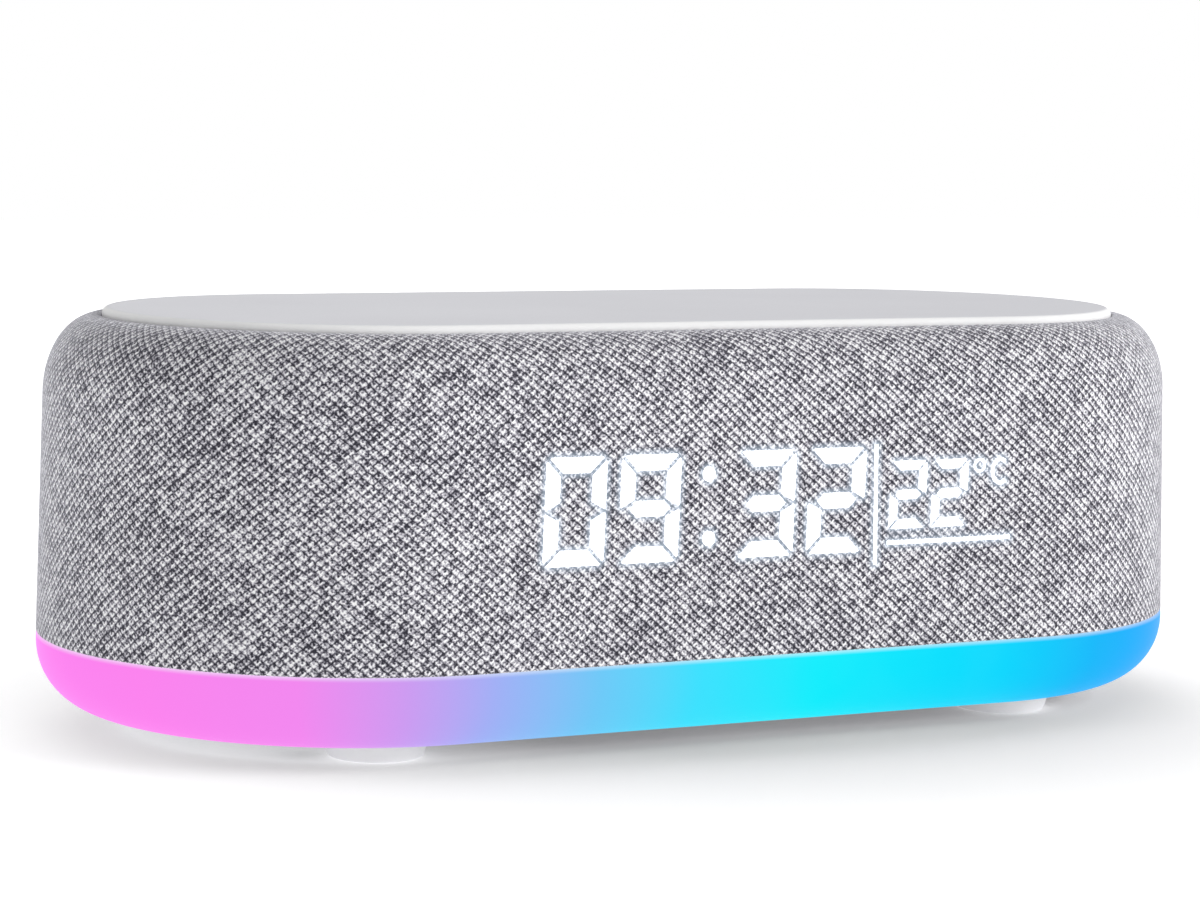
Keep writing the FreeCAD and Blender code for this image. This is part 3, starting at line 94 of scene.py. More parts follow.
class Shader:
    """A material under construction: adds nodes and joins their sockets."""

    def __init__(self, name: str) -> None:
        """Start an empty node material.

        Args:
            name: The material's name.
        """
        self.material = bpy.data.materials.new(name)
        self.material.use_nodes = True
        self.tree = self.material.node_tree
        self.tree.nodes.clear()
        self.surface = self.add("ShaderNodeBsdfPrincipled")
        output = self.add("ShaderNodeOutputMaterial")
        self.join(self.surface.outputs[0], output.inputs["Surface"])

    def add(self, kind: str, **settings: object) -> Node:
        """Add a node and set its properties.

        Args:
            kind: Blender's name for the node type.
            **settings: Properties of the node.

        Returns:
            The new node.
        """
        node = self.tree.nodes.new(kind)
        for key, value in settings.items():
            setattr(node, key, value)
        return node

    def join(self, source: Socket, target: Socket) -> None:
        """Link one socket to another."""
        self.tree.links.new(source, target)

    def feed(self, target: Socket, value: object) -> None:
        """Give a socket a link or a plain number.

        Args:
            target: The input socket.
            value: An output socket, or a value for the input itself.
        """
        if isinstance(value, Socket):
            self.join(value, target)
        else:
            target.default_value = value

    def sum(self, operation: str, *values: object, clamp: bool = False) -> Socket:
        """Work out one number with a Math node.

        Args:
            operation: The Math node's operation.
            *values: Sockets or numbers, in order.
            clamp: Whether to keep the answer from 0 to 1.

        Returns:
            The answer's socket.
        """
        node = self.add("ShaderNodeMath", operation=operation, use_clamp=clamp)
        for target, value in zip(node.inputs, values):
            self.feed(target, value)
        return node.outputs[0]

    def noise(self, where: Socket, scale: float, detail: float = 2.0) -> Socket:
        """Read a noise texture.

        Args:
            where: The coordinates to read it at.
            scale: Noise cells per metre.
            detail: Number of finer octaves.

        Returns:
            The noise level's socket.
        """
        node = self.add("ShaderNodeTexNoise")
        self.join(where, node.inputs["Vector"])
        node.inputs["Scale"].default_value = scale
        node.inputs["Detail"].default_value = detail
        return node.outputs["Fac"]

    def ramp(self, level: Socket, stops: Sequence[tuple[float, Colour]]) -> Socket:
        """Turn a level into a colour.

        Args:
            level: The level's socket.
            stops: Places along the ramp with their colours.

        Returns:
            The colour's socket.
        """
        node = self.add("ShaderNodeValToRGB")
        elements = node.color_ramp.elements
        while len(elements) < len(stops):
            elements.new(0.5)
        for element, (place, colour) in zip(elements, stops):
            element.position = place
            element.color = colour
        self.join(level, node.inputs["Fac"])
        return node.outputs["Color"]

    def bump(self, height: Socket, depth: float, strength: float) -> None:
        """Raise the surface by a height.

        Args:
            height: The height's socket, from 0 to 1.
            depth: The rise in metres where the height is 1.
            strength: The share of the rise that is used.
        """
        node = self.add("ShaderNodeBump")
        node.inputs["Distance"].default_value = depth
        node.inputs["Strength"].default_value = strength
        self.join(height, node.inputs["Height"])
        self.join(node.outputs[0], self.surface.inputs["Normal"])

    def scaled(self, value: Socket, factor: object, offset: object = 0.0,
               clamp: bool = False) -> Socket:
        """Multiply a level and add to it.

        Args:
            value: The level.
            factor: A number or socket that multiplies it.
            offset: A number or socket that is added.
            clamp: Whether to keep the answer from 0 to 1.

        Returns:
            The answer's socket.
        """
        return self.sum("MULTIPLY_ADD", value, factor, offset, clamp=clamp)

    def spread(self, value: Socket, span: float) -> Socket:
        """Turn a level of 0 to 1 into one about 0 that is as wide as the span."""
        return self.scaled(value, span, -span / 2)

    def split(self, vector: Socket) -> Sequence[Socket]:
        """Take a vector apart.

        Args:
            vector: The vector's socket.

        Returns:
            The sockets of its three numbers.
        """
        node = self.add("ShaderNodeSeparateXYZ")
        self.join(vector, node.inputs[0])
        return node.outputs

    def fade(self, level: Socket, start: float, end: float, low: float = 0.0, high: float = 1.0,
             kind: str = "SMOOTHSTEP") -> Socket:
        """Step from one number to another.

        Args:
            level: The level that the step follows.
            start: Where it begins.
            end: Where it is done.
            low: The number before it.
            high: The number after it.
            kind: The Map Range node's interpolation.

        Returns:
            The number's socket.
        """
        node = self.add("ShaderNodeMapRange", interpolation_type=kind)
        self.join(level, node.inputs["Value"])
        numbers = {"From Min": start, "From Max": end, "To Min": low, "To Max": high}
        for label, number in numbers.items():
            node.inputs[label].default_value = number
        return node.outputs[0]

    def colour(self, source: Socket) -> None:
        """Give the surface its base colour."""
        self.join(source, self.surface.inputs["Base Color"])

    def set(self, **numbers: object) -> None:
        """Set the surface's own sockets, named with _ in place of a space."""
        for key, value in numbers.items():
            self.surface.inputs[key.replace("_", " ")].default_value = value

    def places(self, kind: str = "Object") -> Socket:
        """The coordinates that the patterns follow."""
        return self.add("ShaderNodeTexCoord").outputs[kind]

    def mix(self, share: object, first: object, second: object) -> Socket:
        """Blend two colours.

        Args:
            share: How much of the second shows.
            first: The first colour.
            second: The second colour.

        Returns:
            The blend's socket.
        """
        node = self.add("ShaderNodeMix", data_type="RGBA")
        self.feed(node.inputs[0], share)
        self.feed(node.inputs[6], first)
        self.feed(node.inputs[7], second)
        return node.outputs[2]


@dataclass(frozen=True)
class Finish:
    """A moulded, printed or metal finish with a fine grain.

    Attributes:
        light: The lighter of its two tones.
        dark: The darker of its two tones.
        roughness: Mean roughness.
        grain: Grain cells per metre.
        depth: Height of the grain in metres.
        metallic: 1 for metal and 0 for the rest.
        cloud: Slow tone changes per metre.
        lit: Painted glow: emission that stands in for light from the band above it.
        grain_share: The grain's share in the tone; the slow changes have the rest.
        wear: How far the roughness strays from its mean.
    """
    light: Colour
    dark: Colour
    roughness: float = 0.5
    grain: float = 2600.0
    depth: float = 0.00003
    metallic: float = 0.0
    cloud: float = 60.0
    lit: float = 0.0
    grain_share: float = 0.4
    wear: float = 0.07

    def shader(self, name: str) -> Shader:
        """Build the material, open to more nodes.

        Args:
            name: The material's name.

        Returns:
            Its shader.
        """
        shader = Shader(name)
        place = shader.places()
        grain = shader.noise(place, self.grain)
        cloud = shader.scaled(shader.noise(place, self.cloud, 3.0), 1 - self.grain_share)
        tone = shader.scaled(grain, self.grain_share, cloud)
        shader.colour(shader.ramp(tone, ((0.3, self.dark), (0.7, self.light))))
        worn = shader.scaled(tone, 2 * self.wear, self.roughness - self.wear)
        shader.join(worn, shader.surface.inputs["Roughness"])
        # A lit share above 0 paints a glow into the part as emission.
        shader.set(Metallic=self.metallic, Emission_Color=self.light, Emission_Strength=self.lit)
        shader.bump(grain, self.depth, 0.6)
        return shader

    def make(self, name: str) -> Material:
        """Build the material under a name."""
        return self.shader(name).material


@dataclass(frozen=True)
class Knit:
    """The sleeve's heather knit: stitches in a diamond lattice, with the display's glow in it.

    Attributes:
        across: Width of one diamond, in metres.
        way_round: The way round the sleeve, in metres.
        upright: Height of one diamond, in metres.
        even_place: Angle round the sleeve at which both families of grooves are alike.
        drift: Noise cells per metre, and span, of the chance changes in that.
        rising: Depth of the grooves between the rising ribs, and its change round the sleeve.
        falling: The same for the falling ribs.
        weave_tone: The weave's factor and offset in the tone.
        noises: Noise cells per metre, and span, of fibres, heather and patches.
        stops: Where along the tone the dark, shade, body and light colours stand.
    """
    across: float
    way_round: float
    upright: float = 1.44 * MM
    even_place: float = 1.6
    drift: Point2 = (40.0, 0.7)
    stray: float = 0.45 * MM
    stray_cells: float = 260.0
    rising: Point2 = (0.72, 0.3)
    falling: Point2 = (0.64, -0.36)
    lobe_slope: float = 1.15
    lobe_drop: float = 0.22
    lobe_level: float = 1.15
    lobe_fall: float = 1.9
    eye_height: float = 0.2
    eye_fall: float = 8.0
    weave_tone: Point2 = (0.66, -0.13)
    lobe_tone: float = 0.26
    eye_tone: float = -0.34
    yarn: float = 0.34
    noises: tuple[Point2, ...] = ((3100.0, 1.4), (420.0, 0.3), (70.0, 0.18))
    stops: tuple[float, ...] = (0.08, 0.28, 0.52, 0.8)
    dark: Colour = paint(50, 49, 58)
    shade: Colour = paint(106, 104, 114)
    body: Colour = paint(196, 194, 202)
    light: Colour = paint(255, 254, 255)
    glow: Colour = paint(214, 232, 250)
    glow_share: float = 0.4
    glow_light: float = 0.05
    sheen: Colour = paint(236, 236, 244)
    depth: float = 0.12 * MM

    def strayed(self, shader: Shader, place: Socket) -> Socket:
        """Move the cloth's coordinates, so that the threads are a little astray.

        Args:
            shader: The material under construction.
            place: The cloth's UVs.

        Returns:
            The moved coordinates.
        """
        sway = shader.add("ShaderNodeTexNoise")
        shader.join(place, sway.inputs["Vector"])
        sway.inputs["Scale"].default_value = self.stray_cells
        shift = shader.add("ShaderNodeVectorMath", operation="MULTIPLY_ADD")
        shader.join(sway.outputs["Color"], shift.inputs[0])
        shift.inputs[1].default_value = (self.stray, self.stray, 0.0)
        shader.join(place, shift.inputs[2])
        return shift.outputs[0]

    def weave(self, shader: Shader, lean: Socket, first: Socket, second: Socket) -> Socket:
        """Cross two families of grooves.

        Args:
            shader: The material under construction.
            lean: Which family is the deeper one here.
            first: Phase of the rising ribs.
            second: Phase of the falling ribs.

        Returns:
            The level, from 0 in the grooves to 1 between them.
        """
        levels = []
        for phase, (mean, change) in ((first, self.rising), (second, self.falling)):
            depth = shader.scaled(lean, change, mean, clamp=True)
            turn = shader.sum("MULTIPLY", phase, math.pi)
            wave = shader.sum("ABSOLUTE", shader.sum("SINE", turn))
            bare = shader.sum("SUBTRACT", 1.0, depth)
            levels.append(shader.scaled(shader.sum("POWER", wave, 0.5), depth, bare))
        return shader.sum("MULTIPLY", *levels)

    def stitch(self, shader: Shader, first: Socket, second: Socket) -> tuple[Socket, Socket]:
        """Shape the inside of one diamond: two light lobes, and a dark eye above them.

        Args:
            shader: The material under construction.
            first: Phase of the rising ribs.
            second: Phase of the falling ribs.

        Returns:
            The lobes' level and the eye's level.
        """
        right, left = shader.sum("FRACT", first), shader.sum("FRACT", second)
        off_middle = shader.sum("SUBTRACT", shader.sum("ADD", right, left), 1.0)
        aside = shader.sum("ABSOLUTE", off_middle)
        above = shader.sum("SUBTRACT", right, left)
        over_foot = shader.sum("ADD", above, self.lobe_drop)
        off_lobe = shader.sum("ABSOLUTE", shader.scaled(aside, -self.lobe_slope, over_foot))
        lobes = shader.scaled(off_lobe, -self.lobe_fall, self.lobe_level, clamp=True)
        over_eye = shader.sum("SUBTRACT", above, self.eye_height)
        away = shader.scaled(over_eye, over_eye, shader.sum("MULTIPLY", aside, aside))
        return lobes, shader.scaled(away, -self.eye_fall, 1.0, clamp=True)

    def chance(self, shader: Shader, first: Socket, second: Socket) -> Socket:
        """Draw a number for each half stitch.

        Args:
            shader: The material under construction.
            first: Phase of the rising ribs.
            second: Phase of the falling ribs.

        Returns:
            The number's socket.
        """
        cell = shader.add("ShaderNodeCombineXYZ")
        shader.join(shader.sum("FLOOR", first), cell.inputs[0])
        shader.join(shader.sum("FLOOR", shader.sum("MULTIPLY", second, 2.0)), cell.inputs[1])
        drawn = shader.add("ShaderNodeTexWhiteNoise", noise_dimensions="2D")
        shader.join(cell.outputs[0], drawn.inputs["Vector"])
        return drawn.outputs["Value"]

    def make(self, name: str) -> Material:
        """Build the material.

        Args:
            name: The material's name.

        Returns:
            The material.
        """
        shader = Shader(name)
        place = shader.places("UV")
        run, height, _ = shader.split(self.strayed(shader, place))
        along = shader.sum("DIVIDE", run, self.across)
        rise = shader.sum("DIVIDE", height, self.upright)
        first, second = shader.sum("ADD", along, rise), shader.sum("SUBTRACT", along, rise)
        turn = shader.scaled(run, FULL_TURN / self.way_round, -self.even_place)
        cells, span = self.drift
        drift = shader.spread(shader.noise(place, cells, 1.0), span)
        lean = shader.sum("ADD", shader.sum("SINE", turn), drift)
        weave = self.weave(shader, lean, first, second)
        lobes, eye = self.stitch(shader, first, second)
        yarn = shader.spread(self.chance(shader, first, second), self.yarn)
        parts = [shader.scaled(lobes, self.lobe_tone), shader.scaled(eye, self.eye_tone), yarn]
        parts += [shader.spread(shader.noise(place, cells), span) for cells, span in self.noises]
        tone = shader.scaled(weave, *self.weave_tone)
        for part in parts:
            tone = shader.sum("ADD", tone, part)
        colours = (self.dark, self.shade, self.body, self.light)
        threads = shader.ramp(tone, tuple(zip(self.stops, colours)))
        near = shader.add("ShaderNodeAttribute", attribute_name=GLOW).outputs["Fac"]
        shader.colour(shader.mix(shader.sum("MULTIPLY", near, self.glow_share), threads, self.glow))
        given = shader.sum("MULTIPLY", near, self.glow_light)
        shader.join(given, shader.surface.inputs["Emission Strength"])
        shader.set(Emission_Color=self.glow, Roughness=0.92, Specular_IOR_Level=0.2,
                   Sheen_Weight=0.9, Sheen_Roughness=0.38, Sheen_Tint=self.sheen)
        shader.bump(shader.scaled(lobes, 0.5, weave), self.depth, 0.55)
        return shader.material


@dataclass(frozen=True)
class LitLight:
    """The white light of the display, a little uneven from one bar to the next."""
    centre: Colour = WHITE
    edge: Colour = paint(242, 250, 255)
    strength: float = 1.0

    def make(self, name: str) -> Material:
        """Build the material.

        Args:
            name: The material's name.

        Returns:
            The material.
        """
        shader = Shader(name)
        level = shader.noise(shader.places(), 500.0)
        light = shader.ramp(level, ((0.3, self.edge), (0.6, self.centre)))
        shader.join(light, shader.surface.inputs["Emission Color"])
        shader.set(Emission_Strength=self.strength, Base_Color=self.centre, Roughness=0.6)
        return shader.material


@dataclass(frozen=True)
class BandLight:
    """The band's light: magenta at the left end, cyan in front, blue at the right end.

    Attributes:
        stops: Shares of the way round, from the rear left, with their colours.
        strength: Strength of the light.
        top_highlight: Colour of the paler line along the top edge, a painted highlight.
        top_highlight_width: Width of that line, in metres.
        top_highlight_share: How much of the painted highlight shows at the edge.
    """
    stops: tuple[tuple[float, Colour], ...] = (
        (0.0, paint(252, 122, 240)), (0.20, paint(253, 131, 240)), (0.25, paint(244, 137, 241)),
        (0.28, paint(208, 154, 242)), (0.31, paint(160, 177, 247)), (0.344, paint(110, 202, 249)),
        (0.378, paint(58, 226, 255)), (0.42, paint(10, 239, 254)), (0.487, paint(5, 217, 255)),
        (0.527, paint(5, 184, 251)), (0.57, paint(9, 168, 255)), (0.68, paint(40, 128, 255)),
        (0.80, paint(150, 118, 250)), (0.92, paint(232, 120, 244)), (1.0, paint(252, 122, 240)))
    strength: float = 0.96
    top_highlight: Colour = paint(240, 246, 255)
    top_highlight_width: float = 0.8 * MM
    top_highlight_share: float = 0.42

    def make(self, name: str, length: float, height: float) -> Material:
        """Build the material.

        Args:
            name: The material's name.
            length: The way round the band, in metres, as its UV map has it.
            height: The UV height of the band's top edge.

        Returns:
            The material.
        """
        shader = Shader(name)
        place = shader.places("UV")
        run, rise, _ = shader.split(place)
        colour = shader.ramp(shader.sum("DIVIDE", run, length), self.stops)
        # Painted highlight: the light turns paler in a thin line along the top edge.
        edge = shader.fade(rise, height - self.top_highlight_width, height)
        haze = shader.scaled(shader.noise(place, 90.0), 0.014, -0.004)
        lit = shader.mix(shader.scaled(edge, self.top_highlight_share, haze), colour, self.top_highlight)
        shader.join(lit, shader.surface.inputs["Emission Color"])
        shader.colour(shader.mix(0.97, lit, BLACK))
        shader.set(Emission_Strength=self.strength, Roughness=0.42, Specular_IOR_Level=0.03)
        shader.bump(shader.noise(place, 1800.0), 0.02 * MM, 0.3)
        return shader.material


@dataclass(frozen=True)
class PlateFinishAndHighlight:
    """The charging plate's soft grey top, and its rim painted white, partly a painted highlight."""
    top: Colour = paint(232, 232, 237)
    top_dark: Colour = paint(226, 226, 231)
    rim: Colour = WHITE
    rim_fade: float = 0.7 * MM

    def make(self, name: str, rim_end: float) -> Material:
        """Build the material.

        Args:
            name: The material's name.
            rim_end: The UV height at which the rim gives way to the top.

        Returns:
            The material.
        """
        shader = Shader(name)
        place = shader.places()
        _, height, _ = shader.split(shader.places("UV"))
        edge = shader.fade(height, rim_end - self.rim_fade, rim_end)
        grain = shader.noise(place, 3200.0)
        cloud = shader.noise(place, 22.0)
        tone = shader.scaled(grain, 0.5, shader.scaled(cloud, 0.5))
        top = shader.ramp(tone, ((0.35, self.top_dark), (0.65, self.top)))
        # The rim is painted white, in part a painted highlight along the rounded edge.
        shader.colour(shader.mix(edge, self.rim, top))
        shader.set(Roughness=0.66, Specular_IOR_Level=0.14)
        shader.bump(grain, 0.015 * MM, 0.5)
        return shader.material


FINISHES: dict[str, Finish] = {
    "housing": Finish(paint(214, 214, 216), paint(204, 204, 208), 0.55),
    "base": Finish(paint(206, 206, 210), paint(196, 196, 201), 0.6),
    # The foot's lit share is a painted glow that brightens it.
    "foot": Finish(paint(250, 250, 252), paint(240, 240, 244), 0.7, 1900.0, 0.00006, lit=0.1),
    "steel": Finish(paint(196, 197, 200), paint(168, 170, 174), 0.3, 3000.0, 0.00001, 1.0),
    "circuit": Finish(paint(22, 84, 58), paint(14, 62, 44), 0.4, 900.0, 0.00004),
    "component": Finish(paint(44, 44, 48), paint(30, 30, 34), 0.5),
    "display": Finish(paint(236, 236, 238), paint(224, 224, 228), 0.5),
    "filter": Finish(paint(70, 72, 78), paint(54, 56, 62), 0.25, 1500.0, 0.00001),
    "panel": Finish(paint(204, 204, 209), paint(194, 194, 200), 0.52, 2400.0, 0.00004),
    "button": Finish(paint(226, 226, 230), paint(216, 216, 221), 0.6, 1800.0, 0.00005),
    "plunger": Finish(paint(60, 60, 64), paint(44, 44, 48), 0.5),
    "can": Finish(paint(186, 188, 190), paint(164, 166, 168), 0.32, 2500.0, 0.00001, 1.0),
    "cell": Finish(paint(200, 202, 204), paint(178, 180, 184), 0.28, 2500.0, 0.00001, 1.0),
    "copper": Finish(paint(196, 112, 70), paint(158, 84, 48), 0.35, 2200.0, 0.00005, 1.0),
    "ferrite": Finish(paint(58, 56, 56), paint(40, 39, 40), 0.65),
    "magnet": Finish(paint(150, 151, 154), paint(128, 129, 132), 0.35, 2500.0, 0.00002, 1.0),
    "frame": Finish(paint(52, 52, 56), paint(36, 36, 40), 0.5),
    "cone": Finish(paint(70, 70, 74), paint(46, 46, 50), 0.85, 1500.0, 0.0001),
    "surround": Finish(paint(34, 34, 36), paint(24, 24, 26), 0.7),
    "flex": Finish(paint(206, 150, 64), paint(176, 120, 44), 0.4),
    "source": Finish(paint(244, 240, 214), paint(232, 226, 190), 0.35),
    "plate": Finish(paint(203, 203, 206), paint(197, 197, 200), 0.42),
    "diffuser": Finish(paint(226, 230, 240), paint(212, 218, 232), 0.4),
    "cloth": Finish(paint(190, 189, 196), paint(150, 149, 158), 0.9),
}
MARK_FINISH = Finish(paint(128, 128, 136), paint(112, 112, 120), 0.6)


# ---------------------------------------------------------------- mesh helpers

def add_object(name: str, data: bpy.types.ID) -> Piece:
    """Add an object to the scene.

    Args:
        name: Its name.
        data: Its mesh, lamp or camera.

    Returns:
        The object.
    """
    added = bpy.data.objects.new(name, data)
    bpy.context.scene.collection.objects.link(added)
    return added


class Skin:
    """Points, faces and face-corner UVs gathered for one mesh."""

    def __init__(self) -> None:
        """Start with nothing in it."""
        self.points: list[Point3] = []
        self.faces: list[tuple[int, ...]] = []
        self.flat: list[tuple[Point2, ...]] = []
        self.slots: list[int] = []

    def point(self, place: Point3) -> int:
        """Add a point and return its number."""
        self.points.append(place)
        return len(self.points) - 1

    def face(self, corners: Sequence[int], flat: Optional[Sequence[Point2]] = None,
             slot: int = 0) -> None:
        """Add a face.

        Args:
            corners: The numbers of its points, anticlockwise from outside.
            flat: Its UVs, or None to take x and y.
            slot: Its material slot.
        """
        self.faces.append(tuple(corners))
        uvs = flat or [self.points[corner][:2] for corner in corners]
        self.flat.append(tuple(uvs))
        self.slots.append(slot)

    def make(self, name: str, *materials: Material, smooth: bool = True) -> Piece:
        """Make the object, with its place in its mesh.

        Args:
            name: The piece's name.
            *materials: Its materials, in slot order.
            smooth: Whether its faces are shaded smooth.

        Returns:
            The object.
        """
        mesh = bpy.data.meshes.new(name)
        mesh.from_pydata(self.points, [], self.faces)
        layer = mesh.uv_layers.new(name="UVMap")
        corners = [uv for flat in self.flat for uv in flat]
        layer.data.foreach_set("uv", np.array(corners, float).ravel())
        mesh.polygons.foreach_set("material_index", self.slots)
        mesh.polygons.foreach_set("use_smooth", [smooth] * len(self.faces))
        for material in materials:
            mesh.materials.append(material)
        mesh.validate()
        mesh.update()
        return add_object(name, mesh)


def arc(centre: Point2, radii: Point2, start: float, end: float, steps: int) -> list[Point2]:
    """Points along part of an ellipse.

    Args:
        centre: The ellipse's middle.
        radii: Its two radii.
        start: The first angle, in degrees.
        end: The last angle, in degrees.
        steps: Number of runs between them.

    Returns:
        The points, both ends included.
    """
    angles = [math.radians(start + (end - start) * step / steps) for step in range(steps + 1)]
    return [(centre[0] + radii[0] * math.cos(angle), centre[1] + radii[1] * math.sin(angle))
            for angle in angles]


def circle(centre: Point2, radius: float, steps: int) -> list[Point2]:
    """Points round a circle, the first one once only."""
    return arc(centre, (radius, radius), 0, 360, steps)[:-1]


def metres(spots: Sequence[Point2]) -> list[Point2]:
    """Points given in millimetres, in metres."""
    return [(first * MM, second * MM) for first, second in spots]


def quadrant_places(across: float, along: float, height: float) -> list[Point3]:
    """Four places in metres, alike in each quadrant, from sizes in millimetres."""
    return [(x * across * MM, y * along * MM, height * MM) for x, y in QUADRANTS]


@dataclass(frozen=True)
class Station:
    """One place round a stadium.

    Attributes:
        anchor: X of the middle line's nearest point.
        normal: Outward direction in plan.
        run: Length along the outline from its start.
    """
    anchor: float
    normal: Point2
    run: float


@dataclass(frozen=True)
class Stadium:
    """A stadium in plan: two half circles joined by straight sides.

    Attributes:
        half_span: Half the straight sides' length, in metres.
        radius: The half circles' radius, in metres.
        end_steps: Number of runs in each half circle.
    """
    half_span: float
    radius: float
    end_steps: int = 56

    @property
    def length(self) -> float:
        """The way round the outline."""
        return FULL_TURN * self.radius + 4 * self.half_span

    def stations(self, front: Sequence[float], rear: Sequence[float]) -> list[Station]:
        """Places round the outline: rear left, left end, front, right end and rear.

        Args:
            front: X places along the front, left to right, both ends included.
            rear: X places along the rear, right to left, both ends included.

        Returns:
            The stations, with the last one back at the first one's place.
        """
        half_turn = math.pi * self.radius
        found = []
        for side, begin in ((-1, 90), (1, 270)):
            before = 0.0 if side < 0 else half_turn + 2 * self.half_span
            for step in range(self.end_steps):
                angle = math.radians(begin + 180 * step / self.end_steps)
                normal = (math.cos(angle), math.sin(angle))
                run = before + half_turn * step / self.end_steps
                found.append(Station(side * self.half_span, normal, run))
            if side < 0:
                found += [Station(x, (0.0, -1.0), half_turn + x + self.half_span)
                          for x in front[:-1]]
        start = 2 * half_turn + 2 * self.half_span
        found += [Station(x, (0.0, 1.0), start + self.half_span - x) for x in rear]
        return found

    def even_stations(self, steps: int = 20) -> list[Station]:
        """Places round the outline, with even steps along the straight sides."""
        straight = steps_between(-self.half_span, self.half_span, steps)
        return self.stations(straight, straight[::-1])

    def place(self, station: Station, inset: float, height: float) -> Point3:
        """The point at a station, an inset inside the outline, at a height."""
        reach = self.radius - inset
        return station.anchor + station.normal[0] * reach, station.normal[1] * reach, height


def steps_between(first: float, last: float, count: int) -> list[float]:
    """Evenly spaced places, both ends included."""
    return [first + (last - first) * step / count for step in range(count + 1)]


def profile_runs(profile: Profile) -> list[float]:
    """Length along a profile at each of its points.

    Args:
        profile: The profile.

    Returns:
        The lengths, from 0 at its first point.
    """
    runs = [0.0]
    for before, after in zip(profile, profile[1:]):
        runs.append(runs[-1] + math.dist(before, after))
    return runs


def sweep(outline: Stadium, stations: Sequence[Station], profile: Profile, closed: bool,
          skip: Callable[[int, int], bool] = lambda column, row: False
          ) -> tuple[Skin, list[list[int]]]:
    """Carry a profile of insets and heights round a stadium.

    Args:
        outline: The stadium.
        stations: Its places, with the last at the first one's place.
        profile: Insets and heights, up the outside first.
        closed: Whether the profile's last point joins its first.
        skip: Says which faces, by column and row, are left open.

    Returns:
        The skin, and the numbers of its points by column and row.
    """
    skin = Skin()
    runs = profile_runs(profile)
    grid = [[skin.point(outline.place(station, *spot)) for spot in profile]
            for station in stations[:-1]]
    rows = len(profile) if closed else len(profile) - 1
    full = runs[-1] + (math.dist(profile[-1], profile[0]) if closed else 0.0)
    heights = runs + [full]
    for column in range(len(grid)):
        after = (column + 1) % len(grid)
        left, right = stations[column].run, stations[column + 1].run
        for row in range(rows):
            if skip(column, row):
                continue
            above = (row + 1) % len(profile)
            low, high = heights[row], heights[row + 1]
            corner_points = (grid[column][row], grid[after][row], grid[after][above],
                             grid[column][above])
            skin.face(corner_points, ((left, low), (right, low), (right, high), (left, high)))
    return skin, grid


def prism(skin: Skin, outline: Sequence[Point2], near: Depth, far: Depth,
          slot: int = 0) -> None:
    """Add a closed slab to a skin.

    Args:
        skin: The skin that it joins.
        outline: Across and height of its corners, anticlockwise as seen from -Y.
        near: Y of the face towards -Y, by height.
        far: Y of the other face, by height.
        slot: Its material slot.
    """
    front = [skin.point((x, near(z), z)) for x, z in outline]
    back = [skin.point((x, far(z), z)) for x, z in outline]
    skin.face(front, outline, slot)
    skin.face(back[::-1], outline[::-1], slot)
    for index in range(len(outline)):
        after = (index + 1) % len(outline)
        spots = (outline[index], outline[after], outline[after], outline[index])
        skin.face((front[after], front[index], back[index], back[after]), spots[::-1], slot)


def band_prism(skin: Skin, inner: Sequence[Point2], outer: Sequence[Point2], near: Depth,
               far: Depth, closed: bool, slot: int = 0) -> None:
    """Add a flat strip between two lines to a skin, as a closed slab.

    Args:
        skin: The skin that it joins.
        inner: The strip's inner line.
        outer: Its outer line, with as many points, anticlockwise as seen from -Y.
        near: Y of the face towards -Y, by height.
        far: Y of the other face, by height.
        closed: Whether the strip closes on itself.
        slot: Its material slot.
    """
    rows = [[skin.point((x, depth(z), z)) for x, z in line]
            for line, depth in ((inner, near), (outer, near), (outer, far), (inner, far))]
    count = len(inner)
    for index in range(count if closed else count - 1):
        after = (index + 1) % count
        for row, beside in zip(rows, rows[1:] + rows[:1]):
            skin.face((row[after], row[index], beside[index], beside[after]), slot=slot)
    if not closed:
        skin.face([row[0] for row in rows][::-1], slot=slot)
        skin.face([row[-1] for row in rows], slot=slot)


def turned(skin: Skin, profile: Profile, place: Callable[[float, float, float], Point3],
           steps: int = 64) -> None:
    """Add a turned solid to a skin. Its first and last profile points are on the axis.

    Args:
        skin: The skin that it joins.
        profile: Radii and heights, from the foot of the axis up the outside to its top.
        place: Puts a local point, with the axis along its third number, in the row frame.
        steps: Number of runs round the axis.
    """
    foot = skin.point(place(0.0, 0.0, profile[0][1]))
    top = skin.point(place(0.0, 0.0, profile[-1][1]))
    turns = [FULL_TURN * step / steps for step in range(steps)]
    rings = [[skin.point(place(radius * math.cos(turn), radius * math.sin(turn), height))
              for turn in turns] for radius, height in profile[1:-1]]
    for index in range(steps):
        after = (index + 1) % steps
        skin.face((foot, rings[0][after], rings[0][index]))
        skin.face((top, rings[-1][index], rings[-1][after]))
        for low, high in zip(rings, rings[1:]):
            skin.face((low[index], low[after], high[after], high[index]))


def bevel(piece: Piece, width: float, segments: int = 2, angle: float = 35.0) -> None:
    """Soften a piece's edges with a live modifier.

    Args:
        piece: The piece.
        width: The bevel's width in metres.
        segments: Number of faces across it.
        angle: The least angle between faces that is softened, in degrees.
    """
    modifier = piece.modifiers.new("Softened edges", "BEVEL")
    modifier.width = width
    modifier.segments = segments
    modifier.limit_method = "ANGLE"
    modifier.angle_limit = math.radians(angle)
    even = piece.modifiers.new("Even shading", "WEIGHTED_NORMAL")
    even.keep_sharp = True


# ---------------------------------------------------------------- the display

class Bar(Enum):
    """The seven bars of a digit."""
    TOP = "a"
    UPPER_RIGHT = "b"
    LOWER_RIGHT = "c"
    BOTTOM = "d"
    LOWER_LEFT = "e"
    UPPER_LEFT = "f"
    MIDDLE = "g"


LIT_BARS: dict[str, str] = {"0": "abcdef", "2": "abged", "3": "abgcd", "9": "abcdfg"}


